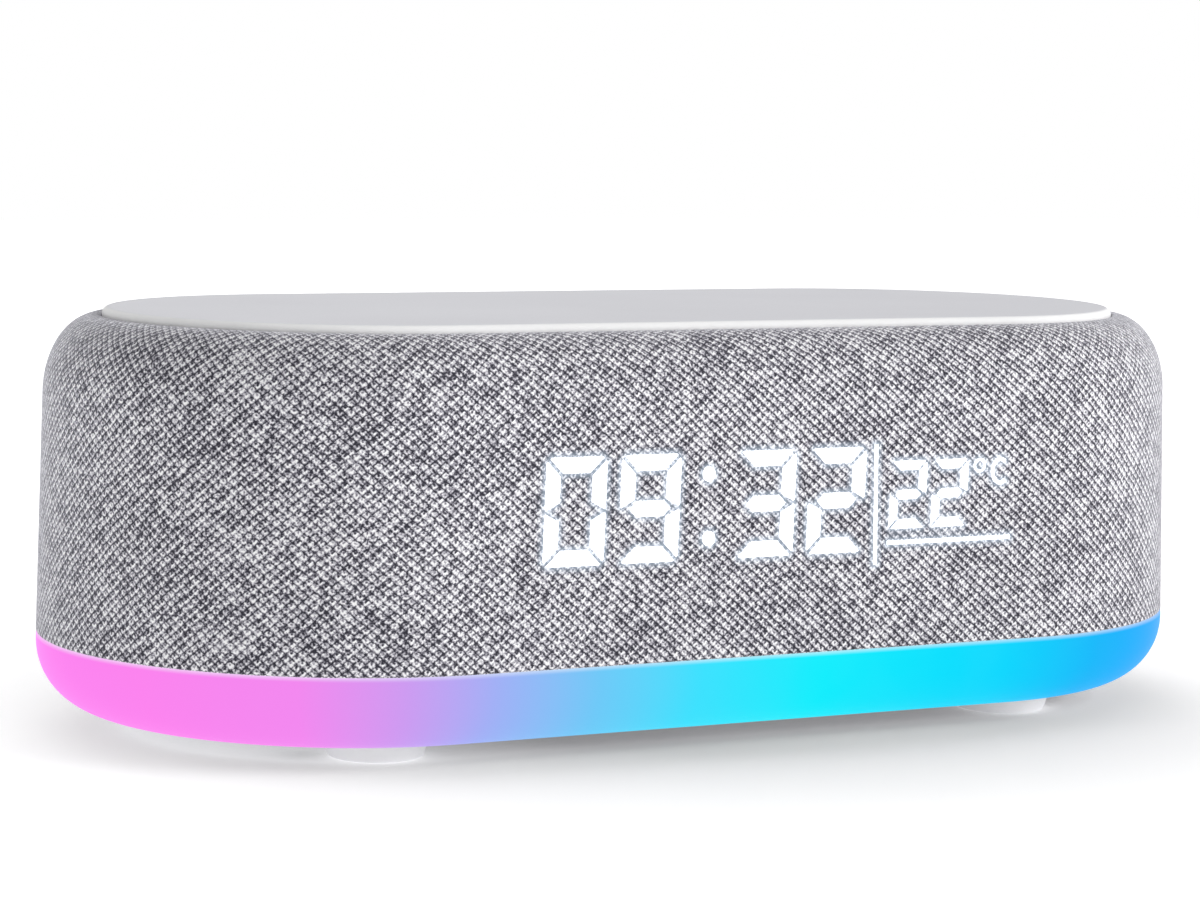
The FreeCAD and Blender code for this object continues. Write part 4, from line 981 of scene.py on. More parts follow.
@dataclass(frozen=True)
class Digit:
    """One digit of bars.

    Attributes:
        figure: The figure that it shows.
        centre: X and z of its middle.
        width: Its width.
        height: Its height.
        stroke: Width of a bar.
        gap: Space between bars.
        slant: How far its top leans to the right.
        cut: Chamfer of its outer corners, as a share of the stroke.
        tip: Length of the side bars' points, as a share of the inner gap.
    """
    figure: str
    centre: Point2
    width: float = 10.4 * MM
    height: float = 16.6 * MM
    stroke: float = 2.45 * MM
    gap: float = 0.6 * MM
    slant: float = 0.7 * MM
    cut: float = 0.34
    tip: float = 1.2

    def bar(self, bar: Bar) -> list[Point2]:
        """The outline of one bar, anticlockwise as seen from the front.

        Args:
            bar: Which bar.

        Returns:
            Its corners, as x and z.
        """
        w, h, t = self.width / 2, self.height / 2, self.stroke
        k = self.gap / (2 * math.sqrt(2))
        cut, tip = self.cut * t, self.tip * k
        top = [(-w + cut / 2 + k, h - cut / 2 + k), (-w + t + 2 * k, h - t), (w - t - 2 * k, h - t),
               (w - cut / 2 - k, h - cut / 2 + k), (w - cut, h), (-w + cut, h)]
        right = [(w - cut / 2 + k, h - cut / 2 - k), (w - t, h - t - 2 * k), (w - t, t / 2 + k),
                 (w - k, tip), (w, 2 * tip), (w, h - cut)]
        middle = [(-w + t / 2 + 2 * k, 0.0), (-w + t + 2 * k, -t / 2), (w - t - 2 * k, -t / 2),
                  (w - t / 2 - 2 * k, 0.0), (w - t - 2 * k, t / 2), (-w + t + 2 * k, t / 2)]
        flips = {Bar.TOP: (top, 1, 1), Bar.BOTTOM: (top, 1, -1), Bar.UPPER_RIGHT: (right, 1, 1),
                 Bar.LOWER_RIGHT: (right, 1, -1), Bar.UPPER_LEFT: (right, -1, 1),
                 Bar.LOWER_LEFT: (right, -1, -1), Bar.MIDDLE: (middle, 1, 1)}
        spots, across, up = flips[bar]
        middle_x, middle_z = self.centre
        leaned = [(middle_x + x * across + self.slant * (z * up) / self.height, middle_z + z * up)
                  for x, z in spots]
        return anticlockwise(leaned)

    def outlines(self) -> list[list[Point2]]:
        """The outlines of the bars that are lit."""
        return [self.bar(bar) for bar in Bar if bar.value in LIT_BARS[self.figure]]


def anticlockwise(outline: list[Point2]) -> list[Point2]:
    """Put an outline in anticlockwise order.

    Args:
        outline: Its corners, in either order.

    Returns:
        The corners in that order.
    """
    area = sum(a[0] * b[1] - b[0] * a[1] for a, b in zip(outline, outline[1:] + outline[:1]))
    return outline if area > 0 else outline[::-1]


@dataclass
class Display:
    """What shines through the cloth: the time, a rule, the temperature and an underline.

    Sizes are in millimetres. A rule is its left, right, low and high side; the C is its middle,
    half width and half height; the small sizes are width, height, stroke, gap and slant.
    """
    digits: str = "0932"
    digit_places: tuple[float, ...] = (-35.0, -22.1, -1.5, 11.4)
    middle: float = 39.25
    colon_x: float = -11.7
    colon_middle: float = 39.2
    colon_reach: float = 5.0
    dot_radius: float = 1.15
    small_digits: str = "22"
    small_places: tuple[float, ...] = (24.8, 32.7)
    small_middle: float = 39.7
    small_sizes: tuple[float, ...] = (6.8, 10.8, 1.5, 0.4, 0.45)
    rule: tuple[float, ...] = (18.4, 19.05, 28.7, 47.9)
    underline: tuple[float, ...] = (20.9, 44.4, 31.8, 32.45)
    degree: Point2 = (38.4, 43.9)
    degree_radius: float = 1.15
    degree_stroke: float = 0.4225
    celsius: tuple[float, ...] = (42.4, 42.9, 1.5, 1.9)
    celsius_turn: Point2 = (52.0, 308.0)
    celsius_stroke: float = 0.65
    rise: float = 0.07
    sunk: float = 0.06

    def solid_outlines(self) -> list[list[Point2]]:
        """The outlines of everything lit that has no hole, in metres.

        Returns:
            The outlines, each anticlockwise.
        """
        found = []
        for x, figure in zip(self.digit_places, self.digits):
            found += Digit(figure, (x * MM, self.middle * MM)).outlines()
        small_sizes = [size * MM for size in self.small_sizes]
        for x, figure in zip(self.small_places, self.small_digits):
            found += Digit(figure, (x * MM, self.small_middle * MM), *small_sizes).outlines()
        for up in (-1, 1):
            dot = (self.colon_x, self.colon_middle + up * self.colon_reach)
            found.append(metres(circle(dot, self.dot_radius, 28)))
        for left, right, low, high in (self.rule, self.underline):
            found.append(metres([(left, low), (right, low), (right, high), (left, high)]))
        return found

    def strips(self) -> list[tuple[list[Point2], list[Point2], bool]]:
        """The degree ring and the C, as inner and outer lines.

        Returns:
            Inner line, outer line and whether the strip closes, for each.
        """
        inner, outer = (metres(circle(self.degree, radius, 32))
                        for radius in (self.degree_radius - self.degree_stroke, self.degree_radius))
        found = [(inner, outer, True)]
        x, z, across, up = self.celsius
        half = self.celsius_stroke / 2
        inner, outer = (metres(arc((x, z), (across + grow, up + grow), *self.celsius_turn, 30))
                        for grow in (-half, half))
        found.append((inner, outer, False))
        return found

    def build(self, sleeve: "Sleeve") -> Piece:
        """Make the lit shapes on the cloth.

        Args:
            sleeve: The sleeve that they shine through.

        Returns:
            The piece.
        """
        skin = Skin()

        def near(z: float) -> float:
            """Front of the lit shapes."""
            return sleeve.front(z) - self.rise * MM

        def far(z: float) -> float:
            """Back of the lit shapes, in the cloth."""
            return sleeve.front(z) + self.sunk * MM

        for outline in self.solid_outlines():
            prism(skin, outline, near, far)
        for inner, outer, closed in self.strips():
            band_prism(skin, inner, outer, near, far, closed)
        return skin.make("lit_display", LitLight().make("Display light"), smooth=False)

    def dress(self, piece: Piece) -> None:
        """Fix the lit shapes to the clock."""
        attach(piece, BODY)


# ---------------------------------------------------------------- the sleeve

@dataclass
class Sleeve:
    """The knitted sleeve, in millimetres: hem over the band, wall, shoulder, hem by the plate."""
    half_span: float = 50.0
    radius: float = 50.0
    low: float = 15.3
    high: float = 65.9
    draft: float = 1.2
    shoulder: Point2 = (8.6, 12.6)
    tuck_radius: float = 0.5
    tuck_inset: float = 10.0
    tuck_depth: float = 2.0
    hem_radius: float = 0.4
    hem_flat: float = 0.9
    hem_reach: float = 1.6
    wall_foot: float = 1.2
    thickness: float = 0.35
    fine: float = 0.65
    fine_low: float = 25.9
    fine_rows: int = 40
    fine_reach: float = 47.45
    opening_half_span: float = 36.0
    opening_radius: float = 10.3
    opening_middle: float = 38.5
    opening_roll: float = 0.4
    opening_depth: float = 1.0
    opening_shares: Point3 = (0.5, 0.8, 1.0)
    block_reach: float = 48.0
    block_low: float = 26.4
    block_high: float = 50.7
    rear_pitch: float = 2.0
    ribs_round: int = 302
    lit_front: float = -45.0
    glow_reach: float = 0.6

    def inset(self, height: float) -> float:
        """How far the drafted wall stands inside the outline, in millimetres."""
        return self.draft * (height - self.low) / (self.high - self.low)

    def front(self, height: float) -> float:
        """Y of the front of the cloth at a height, both in metres."""
        return -(self.radius - self.inset(height / MM)) * MM

    def profile(self) -> list[Point2]:
        """The section, from the hem under the wall to the hem beside the plate.

        Returns:
            Insets and heights in metres.
        """
        spots = [(self.hem_reach, self.low), (self.hem_flat, self.low)]
        hem_middle = (self.hem_radius, self.low + self.hem_radius)
        spots += arc(hem_middle, (self.hem_radius,) * 2, 270, 180, 4)
        fine_high = self.fine_low + self.fine * self.fine_rows
        wall = steps_between(self.low + self.wall_foot, self.fine_low, 5)
        wall += steps_between(self.fine_low, fine_high, self.fine_rows)[1:]
        spots += [(self.inset(z), z) for z in wall]
        shoulder_start = self.high - self.shoulder[1]
        centre = (self.inset(shoulder_start) + self.shoulder[0], shoulder_start)
        spots += arc(centre, self.shoulder, 180, 90, 18)
        roll = (self.tuck_inset - self.tuck_radius, self.high - self.tuck_radius)
        spots += arc(roll, (self.tuck_radius,) * 2, 85, 0, 5)
        spots += [(self.tuck_inset, self.high - self.tuck_depth)]
        return metres(spots)

    def close_opening(self, skin: Skin, border: list[int], flats: list[Point2],
                      shift: float) -> None:
        """Fit the cloth to the rear opening and roll its edge in.

        Args:
            skin: The sleeve's skin.
            border: Points round the open block, anticlockwise as seen from behind the clock.
            flats: Their UVs.
            shift: What turns -x into the UV along the rear.
        """
        middle, reach = self.opening_middle * MM, self.opening_half_span * MM
        start = [(skin.points[number][0], skin.points[number][2]) for number in border]
        roll, edge = self.opening_roll, self.opening_radius + self.opening_roll
        steps = [(share, edge, 0.0) for share in self.opening_shares]
        for angle in (30, 60, 90):
            turn = math.radians(angle)
            radius = self.opening_radius + roll * (1 - math.sin(turn))
            steps.append((1.0, radius, roll * (1 - math.cos(turn))))
        steps.append((1.0, self.opening_radius, roll + self.opening_depth))
        rings, uvs = [border], [flats]
        for share, radius, sunk in steps:
            target, deep = radius * MM, sunk * MM
            ring, flat = [], []
            for (x, z), (_, v) in zip(start, flats):
                foot = max(-reach, min(reach, x))
                away = Vector((x - foot, z - middle)).normalized()
                goal = (foot + away.x * target, middle + away.y * target)
                spot = (x + (goal[0] - x) * share, z + (goal[1] - z) * share)
                ring.append(skin.point((spot[0], -self.front(spot[1]) - deep, spot[1])))
                flat.append((shift - spot[0] + away.x * deep, v + spot[1] - z - away.y * deep))
            rings.append(ring)
            uvs.append(flat)
        for outer, inner, outer_uv, inner_uv in zip(rings, rings[1:], uvs, uvs[1:]):
            for index in range(len(outer)):
                after = (index + 1) % len(outer)
                skin.face((outer[index], outer[after], inner[after], inner[index]),
                          (outer_uv[index], outer_uv[after], inner_uv[after], inner_uv[index]))

    def stations(self, outline: Stadium) -> tuple[list[Station], int]:
        """Places round the sleeve, closer together in front of the display.

        Args:
            outline: The sleeve's outline.

        Returns:
            The stations, and the number of the first one along the rear.
        """
        fine_steps = round(2 * self.fine_reach / self.fine)
        fine = steps_between(-self.fine_reach, self.fine_reach, fine_steps)
        front = [-self.half_span, *fine, self.half_span]
        rear_steps = round(2 * self.half_span / self.rear_pitch)
        rear = steps_between(self.half_span, -self.half_span, rear_steps)
        stations = outline.stations([x * MM for x in front], [x * MM for x in rear])
        return stations, len(stations) - len(rear)

    def build(self, display: Display) -> Piece:
        """Make the sleeve.

        Args:
            display: What shines through it.

        Returns:
            The piece.
        """
        outline = Stadium(self.half_span * MM, self.radius * MM)
        stations, rear_start = self.stations(outline)
        profile = self.profile()
        first, last = (rear_start + round((self.half_span + reach) / self.rear_pitch)
                       for reach in (-self.block_reach, self.block_reach))
        rows = [row for row, (_, height) in enumerate(profile)
                if self.block_low * MM < height < self.block_high * MM]
        low, high = rows[0], rows[-1]
        skin, grid = sweep(outline, stations, profile, False,
                           lambda column, row: first <= column < last and low <= row < high)
        border = [grid[column][low] for column in range(first, last)]
        border += [grid[last][row] for row in range(low, high)]
        border += [grid[column][high] for column in range(last, first, -1)]
        border += [grid[first][row] for row in range(high, low, -1)]
        runs = profile_runs(profile)
        shift = stations[rear_start].run + self.half_span * MM
        heights = {profile[row][1]: runs[row] for row in rows}
        flats = [(shift - skin.points[n][0], heights[skin.points[n][2]]) for n in border]
        self.close_opening(skin, border, flats, shift)
        across = outline.length / self.ribs_round
        piece = skin.make("knitted_sleeve", Knit(across, outline.length).make("Heather knit"))
        self.light(piece, display)
        wall = piece.modifiers.new("Cloth thickness", "SOLIDIFY")
        wall.thickness = self.thickness * MM
        wall.offset = -1
        return piece

    def light(self, piece: Piece, display: Display) -> None:
        """Store how near each point of the cloth is to the lit shapes.

        Args:
            piece: The sleeve.
            display: The lit shapes.
        """
        spots = np.array([vertex.co for vertex in piece.data.vertices], float)
        outlines = display.solid_outlines()
        outlines += [outer + inner[::-1] for inner, outer, _ in display.strips()]
        nearest = np.full(len(spots), 1.0)
        seen = (spots[:, 1] < self.lit_front * MM) & (np.abs(spots[:, 0]) < self.half_span * MM)
        for outline in outlines:
            inside = np.zeros(len(spots), bool)
            for (x0, z0), (x1, z1) in zip(outline, outline[1:] + outline[:1]):
                edge = np.array([x1 - x0, z1 - z0])
                offset = spots[:, [0, 2]] - (x0, z0)
                share = np.clip(offset @ edge / (edge @ edge), 0, 1)
                away = np.linalg.norm(offset - share[:, None] * edge, axis=1)
                nearest = np.minimum(nearest, away)
                if z0 != z1:
                    crossing = (spots[:, 2] >= min(z0, z1)) & (spots[:, 2] < max(z0, z1))
                    line_x = x0 + (spots[:, 2] - z0) / (z1 - z0) * (x1 - x0)
                    inside ^= crossing & (spots[:, 0] < line_x)
            nearest[inside] = 0.0
        level = np.where(seen, np.exp(-(nearest / (self.glow_reach * MM)) ** 2), 0.0)
        layer = piece.data.attributes.new(GLOW, "FLOAT", "POINT")
        layer.data.foreach_set("value", level)

    def dress(self, piece: Piece) -> None:
        """Args:
            piece: The sleeve.
        """
        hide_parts("fabric_sleeve")
        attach(piece, BODY)


# ---------------------------------------------------------------- band, plate and base

@dataclass
class Band:
    """The glowing diffuser round the base, with a rounded underside, in millimetres."""
    half_span: float = 50.0
    radius: float = 50.0
    low: float = 3.0
    high: float = 15.2
    round_radius: float = 11.0
    wall: float = 2.0
    lip: float = 12.0
    edge: float = 0.3

    def profile(self) -> tuple[list[Point2], float]:
        """The section, and how far along it the top edge is.

        Returns:
            Insets and heights in metres, and the run at the top edge.
        """
        centre = (self.round_radius, self.low + self.round_radius)
        spots = [(self.lip, self.low)]
        spots += arc(centre, (self.round_radius,) * 2, 270, 180, 20)
        spots += arc((self.edge, self.high - self.edge), (self.edge,) * 2, 180, 90, 4)
        top = profile_runs(spots)[-1]
        spots.append((self.wall, self.high))
        inner = self.round_radius - self.wall
        spots += arc(centre, (inner,) * 2, 180, 270, 14)
        spots.append((self.lip, self.low + self.wall))
        return metres(spots), top * MM

    def build(self) -> Piece:
        """Make the band.

        Returns:
            The piece.
        """
        outline = Stadium(self.half_span * MM, self.radius * MM, 72)
        profile, top = self.profile()
        skin, _ = sweep(outline, outline.even_stations(), profile, True)
        return skin.make("glow_band", BandLight().make("Band light", outline.length, top))

    def dress(self, piece: Piece) -> None:
        """Fix the band to the clock, and keep its colour off the white floor.

        Args:
            piece: The band.
        """
        piece.visible_diffuse = False
        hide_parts("light_band")
        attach(piece, BODY)


@dataclass
class Plate:
    """The charging plate, in millimetres: a lid with a softened rim, a skirt and a hollow."""
    half_span: float = 50.0
    radius: float = 39.8
    seat: float = 63.4
    top: float = 67.1
    wall: float = 1.8
    skirt: float = 2.0
    foot_edge: float = 0.15
    edge: float = 1.1
    flat: float = 0.5
    lid: float = 2.0

    def build(self) -> Piece:
        """Make the plate.

        Returns:
            The piece.
        """
        outline = Stadium(self.half_span * MM, self.radius * MM, 64)
        spots = [(self.skirt, self.top - self.wall), (self.skirt, self.seat),
                 (self.foot_edge, self.seat), (0.0, self.seat + self.foot_edge)]
        spots += arc((self.edge, self.top - self.edge), (self.edge,) * 2, 180, 90, 10)
        rim_end = profile_runs(spots)[-1] * MM
        spots += [(self.edge + self.flat, self.top), (self.edge + self.lid, self.top)]
        profile = metres(spots)
        skin, grid = sweep(outline, outline.even_stations(), profile, False)
        lid_run = profile_runs(profile)[-1]
        top = [column[-1] for column in grid]
        skin.face(top, [(skin.points[n][0], lid_run) for n in top])
        ceiling = [column[0] for column in grid][::-1]
        skin.face(ceiling, [(skin.points[n][0], 0.0) for n in ceiling])
        return skin.make("charging_plate", PlateFinishAndHighlight().make("Plate finish and rim highlight", rim_end))

    def dress(self, piece: Piece) -> None:
        """Fix the plate to the clock."""
        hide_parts("top_plate")
        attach(piece, BODY)


@dataclass
class Repeater:
    """A Geometry Nodes tree that sets one turned part at each point of a mesh.

    Attributes:
        name: The tree's and the piece's name.
        places: Where the parts stand, in metres.
        sizes: The tree's named inputs and their values.
        material: The parts' material.
    """
    name: str
    places: Sequence[Point3]
    sizes: dict[str, float]
    material: Material
    tree: bpy.types.NodeTree = field(init=False)

    def start(self) -> tuple[Node, Node]:
        """Make the tree with its inputs.

        Returns:
            The group's input and output nodes.
        """
        self.tree = bpy.data.node_groups.new(self.name, "GeometryNodeTree")
        face = self.tree.interface
        face.new_socket("Places", in_out="INPUT", socket_type="NodeSocketGeometry")
        for label in self.sizes:
            face.new_socket(label, in_out="INPUT", socket_type="NodeSocketFloat")
        face.new_socket("Parts", in_out="OUTPUT", socket_type="NodeSocketGeometry")
        return self.tree.nodes.new("NodeGroupInput"), self.tree.nodes.new("NodeGroupOutput")

    def cone(self, low: Socket, high: Socket, depth: Socket, sides: int) -> Node:
        """A closed cone from the origin up.

        Args:
            low: Radius at its foot.
            high: Radius at its top.
            depth: Its height.
            sides: Number of its sides.

        Returns:
            The cone's node.
        """
        node = self.tree.nodes.new("GeometryNodeMeshCone")
        node.inputs["Vertices"].default_value = sides
        for label, source in (("Radius Bottom", low), ("Radius Top", high), ("Depth", depth)):
            self.tree.links.new(source, node.inputs[label])
        return node

    def raised(self, part: Node, height: float) -> Socket:
        """Move a cone along its axis.

        Args:
            part: The cone's node.
            height: How far up it goes, in metres.

        Returns:
            The moved cone's geometry.
        """
        node = self.tree.nodes.new("GeometryNodeTransform")
        node.inputs["Translation"].default_value = (0.0, 0.0, height)
        self.tree.links.new(part.outputs["Mesh"], node.inputs["Geometry"])
        return node.outputs[0]

    def finish(self, source: Node, part: Socket, end: Node) -> None:
        """Set the part at each place and give it its material.

        Args:
            source: The group's input node.
            part: The part's geometry.
            end: The group's output node.
        """
        nodes, links = self.tree.nodes, self.tree.links
        points = nodes.new("GeometryNodeMeshToPoints")
        links.new(source.outputs["Places"], points.inputs["Mesh"])
        copies = nodes.new("GeometryNodeInstanceOnPoints")
        links.new(points.outputs[0], copies.inputs["Points"])
        links.new(part, copies.inputs["Instance"])
        real = nodes.new("GeometryNodeRealizeInstances")
        links.new(copies.outputs[0], real.inputs[0])
        paint_node = nodes.new("GeometryNodeSetMaterial")
        paint_node.inputs["Material"].default_value = self.material
        links.new(real.outputs[0], paint_node.inputs["Geometry"])
        links.new(paint_node.outputs[0], end.inputs[0])

    def make(self) -> Piece:
        """Run the tree and keep its result as a plain mesh.

        Returns:
            The piece.
        """
        mesh = bpy.data.meshes.new(self.name + "_places")
        mesh.from_pydata(list(self.places), [], [])
        holder = add_object(self.name, mesh)
        modifier = holder.modifiers.new("Parts", "NODES")
        modifier.node_group = self.tree
        for item in self.tree.interface.items_tree:
            if item.in_out == "INPUT" and item.name in self.sizes:
                modifier[item.identifier] = self.sizes[item.name]
        bpy.context.view_layer.update()
        result = holder.evaluated_get(bpy.context.evaluated_depsgraph_get())
        made = bpy.data.meshes.new_from_object(result)
        holder.modifiers.remove(modifier)
        holder.data = made
        made.name = self.name
        made.polygons.foreach_set("use_smooth", [True] * len(made.polygons))
        return holder


@dataclass
class Feet:
    """Four tapered feet under the base, in millimetres."""
    x: float = 58.0
    y: float = 28.5
    bottom_radius: float = 7.3
    top_radius: float = 8.3
    height: float = 3.0
    edge: float = 0.3

    def build(self) -> Piece:
        """Make the four feet as one piece.

        Returns:
            The piece.
        """
        places = quadrant_places(self.x, self.y, 0.0)
        sizes = {"Bottom radius": self.bottom_radius * MM, "Top radius": self.top_radius * MM,
                 "Height": self.height * MM}
        repeater = Repeater("feet", places, sizes, FINISHES["foot"].make("Foot finish and painted glow"))
        source, end = repeater.start()
        cone = repeater.cone(*(source.outputs[label] for label in sizes), 72)
        repeater.finish(source, cone.outputs["Mesh"], end)
        piece = repeater.make()
        bevel(piece, self.edge * MM, 3)
        return piece

    def dress(self, piece: Piece) -> None:
        """Fix the feet to the clock."""
        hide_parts("foot_front_left", "foot_front_right", "foot_rear_left", "foot_rear_right")
        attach(piece, BODY)


@dataclass
class BaseScrews:
    """The four screws sunk in the base, with six-sided recesses, in millimetres."""
    x: float = 68.0
    y: float = 24.0
    head_bottom: float = 5.0
    head_height: float = 2.0
    head_radius: float = 2.8
    shank_radius: float = 1.45
    shank_length: float = 14.0
    recess_radius: float = 1.3
    recess_depth: float = 1.2
    edge: float = 0.12

    def build(self) -> Piece:
        """Make the four screws as one piece.

        Returns:
            The piece.
        """
        places = quadrant_places(self.x, self.y, self.head_bottom)
        sizes = {"Head radius": self.head_radius * MM, "Head height": self.head_height * MM,
                 "Recess radius": self.recess_radius * MM,
                 "Recess depth": 2 * self.recess_depth * MM,
                 "Shank radius": self.shank_radius * MM, "Shank length": self.shank_length * MM}
        steel = FINISHES["steel"].make("Screw steel")
        repeater = Repeater("base_screws_dressed", places, sizes, steel)
        source, end = repeater.start()
        out = source.outputs
        head = repeater.cone(out["Head radius"], out["Head radius"], out["Head height"], 40)
        recess = repeater.cone(out["Recess radius"], out["Recess radius"], out["Recess depth"], 6)
        shank = repeater.cone(out["Shank radius"], out["Shank radius"], out["Shank length"], 24)
        lower = repeater.raised(recess, -self.recess_depth * MM)
        nodes, links = repeater.tree.nodes, repeater.tree.links
        cut = nodes.new("GeometryNodeMeshBoolean")
        cut.operation = "DIFFERENCE"
        links.new(head.outputs["Mesh"], cut.inputs["Mesh 1"])
        links.new(lower, cut.inputs["Mesh 2"])
        lifted = repeater.raised(shank, self.head_height * MM)
        both = nodes.new("GeometryNodeJoinGeometry")
        links.new(cut.outputs[0], both.inputs[0])
        links.new(lifted, both.inputs[0])
        repeater.finish(source, both.outputs[0], end)
        piece = repeater.make()
        bevel(piece, self.edge * MM, 1)
        return piece

    def dress(self, piece: Piece) -> None:
        """Fix the screws to the clock."""
        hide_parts("base_screws")
        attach(piece, BODY)


# ---------------------------------------------------------------- rear keys and panel

class Mark(Enum):
    """Raised marks on the rear keys."""
    WAVES = "talk"
    RING = "alarm"
    MINUS = "minus"
    PLUS = "plus"
    DOT = "light"


@dataclass
class Key:
    """One dished push button on the rear panel, with a raised mark, in millimetres."""
    mark: Mark
    x: float
    z: float = 38.5
    radius: float = 4.0
    face: float = 49.8
    rim: float = 0.45
    dish: float = 0.35
    slope: tuple[Point2, ...] = ((3.1, 0.1), (2.5, 0.22), (1.6, 0.31))
    dish_radius: float = 0.6
    flange_radius: float = 5.2
    flange_front: float = 46.7
    flange_back: float = 45.9
    stem_radius: float = 2.0
    stem_length: float = 1.0
    mark_rise: float = 0.22
    mark_sunk: float = 0.05
    mark_half: float = 0.28
    mark_reach: float = 1.35
    waves: tuple[Point2, ...] = ((-1.1, 0.5), (0.0, 1.3), (1.1, 0.8))
    dot_radius: float = 0.8
    ring_inner: float = 0.85
    sharp: float = 40.0

    def outlines(self) -> list[list[Point2]]:
        """The mark's outlines that have no hole, about the key's middle.

        Returns:
            The outlines in millimetres.
        """
        if self.mark is Mark.DOT:
            return [circle((0.0, 0.0), self.dot_radius, 28)]
        half, reach = self.mark_half, self.mark_reach
        arm, arm_middle = (reach - half) / 2, (reach + half) / 2
        level = (0.0, 0.0, reach, half)
        bars = {
            Mark.MINUS: [level],
            Mark.PLUS: [level, (0.0, arm_middle, half, arm), (0.0, -arm_middle, half, arm)],
            Mark.WAVES: [(x, 0.0, half, tall) for x, tall in self.waves],
        }.get(self.mark, [])
        return [[(x - a, z - b), (x + a, z - b), (x + a, z + b), (x - a, z + b)]
                for x, z, a, b in bars]

    def profile(self) -> list[Point2]:
        """The cap's section, from the stem's end up the outside to the dish.

        Returns:
            Radii and places along the axis, in metres.
        """
        inner, stem_end = self.face - self.dish, self.flange_back - self.stem_length
        spots = [(0.0, stem_end), (self.stem_radius, stem_end),
                 (self.stem_radius, self.flange_back), (self.flange_radius, self.flange_back),
                 (self.flange_radius, self.flange_front), (self.radius, self.flange_front)]
        spots += arc((self.radius - self.rim, self.face - self.rim), (self.rim,) * 2, 0, 90, 6)
        spots += [(radius, self.face - depth) for radius, depth in self.slope]
        return metres(spots + [(self.dish_radius, inner), (0.0, inner)])

    def build(self) -> Piece:
        """Make the button.

        Returns:
            The piece.
        """
        skin = Skin()

        def place(x: float, y: float, z: float) -> Point3:
            """Turn the axis to +Y and move it to the key."""
            return self.x * MM + x, z, self.z * MM - y

        def moved(outline: Sequence[Point2]) -> list[Point2]:
            """Move an outline to the key."""
            return metres([(self.x + x, self.z + z) for x, z in outline])

        turned(skin, self.profile(), place)
        inner = self.face - self.dish
        foot, top = (inner - self.mark_sunk) * MM, (inner + self.mark_rise) * MM
        faces = (lambda height: foot, lambda height: top)
        for outline in self.outlines():
            prism(skin, moved(outline), *faces, 1)
        if self.mark is Mark.RING:
            lines = [moved(circle((0.0, 0.0), radius, 32))
                     for radius in (self.ring_inner, self.mark_reach)]
            band_prism(skin, *lines, *faces, True, 1)
        finish = FINISHES["button"].make(self.mark.value + " key")
        mark_finish = MARK_FINISH.make(self.mark.value + " mark")
        piece = skin.make(self.mark.value + "_key_cap", finish, mark_finish)
        piece.data.set_sharp_from_angle(angle=math.radians(self.sharp))
        return piece

    def dress(self, piece: Piece) -> None:
        """Let the button move with its own key body."""
        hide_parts(self.mark.value + "_button")
        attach(piece, self.mark.value + "_key")


@dataclass
class RearPanel:
    """The rear panel and its inlet, with their edges softened.

    Attributes:
        nodes: Each CAD node with its slot and the width of its bevel in millimetres.
        weld: Points closer than this, in millimetres, are one.
        flat: Faces within this angle, in degrees, are one.
    """
    nodes: tuple[tuple[str, str, float], ...] = (("rear_panel", "panel", 0.3),
                                                 ("usb_inlet", "can", 0.08))
    weld: float = 0.002
    flat: float = 1.0

    def build(self) -> list[tuple[Piece, str, str]]:
        """Make softened pieces from copies of the CAD nodes.

        Returns:
            Each piece with its node and its slot.
        """
        found = []
        for node, slot, width in self.nodes:
            source = frame["nodes"][node]
            mesh = source.data.copy()
            work = bmesh.new()
            work.from_mesh(mesh)
            bmesh.ops.remove_doubles(work, verts=work.verts, dist=self.weld * MM)
            bmesh.ops.dissolve_limit(work, angle_limit=math.radians(self.flat), verts=work.verts,
                                     edges=work.edges)
            work.to_mesh(mesh)
            work.free()
            mesh.materials.clear()
            mesh.materials.append(FINISHES[slot].make(node + " finish"))
            mesh.polygons.foreach_set("use_smooth", [True] * len(mesh.polygons))
            mesh.polygons.foreach_set("material_index", [0] * len(mesh.polygons))
            piece = add_object(node + "_softened", mesh)
            bevel(piece, width * MM)
            found.append((piece, node, slot))
        return found

    def dress(self, made: Sequence[tuple[Piece, str, str]]) -> None:
        """Fix the softened pieces to the clock.

        Args:
            made: Each piece with its node and its slot.
        """
        for piece, node, slot in made:
            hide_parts(node)
            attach(piece, BODY)


class Workings:
    """The CAD nodes that stay: they get the finishes that the record names."""

    def dress(self) -> int:
        """Give each node its slot's finish.

        Returns:
            How many nodes were dressed.
        """
        made: dict[str, Material] = {}
        for entry in frame["record"]["subparts"]:
            slot = entry["material_slot"]
            if slot not in made:
                made[slot] = FINISHES[slot].make(slot + " finish")
            node = frame["nodes"][entry["node"]]
            for place in node.material_slots:
                place.material = made[slot]
            if not node.material_slots:
                node.data.materials.append(made[slot])
        return len(frame["nodes"])


# ---------------------------------------------------------------- studio

@dataclass(frozen=True)
class Lamp:
    """A soft square lamp that faces the clock: name, place, width in metres and watts."""
    name: str
    place: Point3
    size: float
    power: float
    aim: Point3 = (0.0, 0.0, 0.03)

    def make(self) -> None:
        """Add it to the scene."""
        data = bpy.data.lights.new(self.name, "AREA")
        data.size = self.size
        data.energy = self.power
        lamp = add_object(self.name, data)
        lamp.location = self.place
        ahead = Vector(self.aim) - Vector(self.place)
        lamp.rotation_euler = ahead.to_track_quat("-Z", "Y").to_euler()


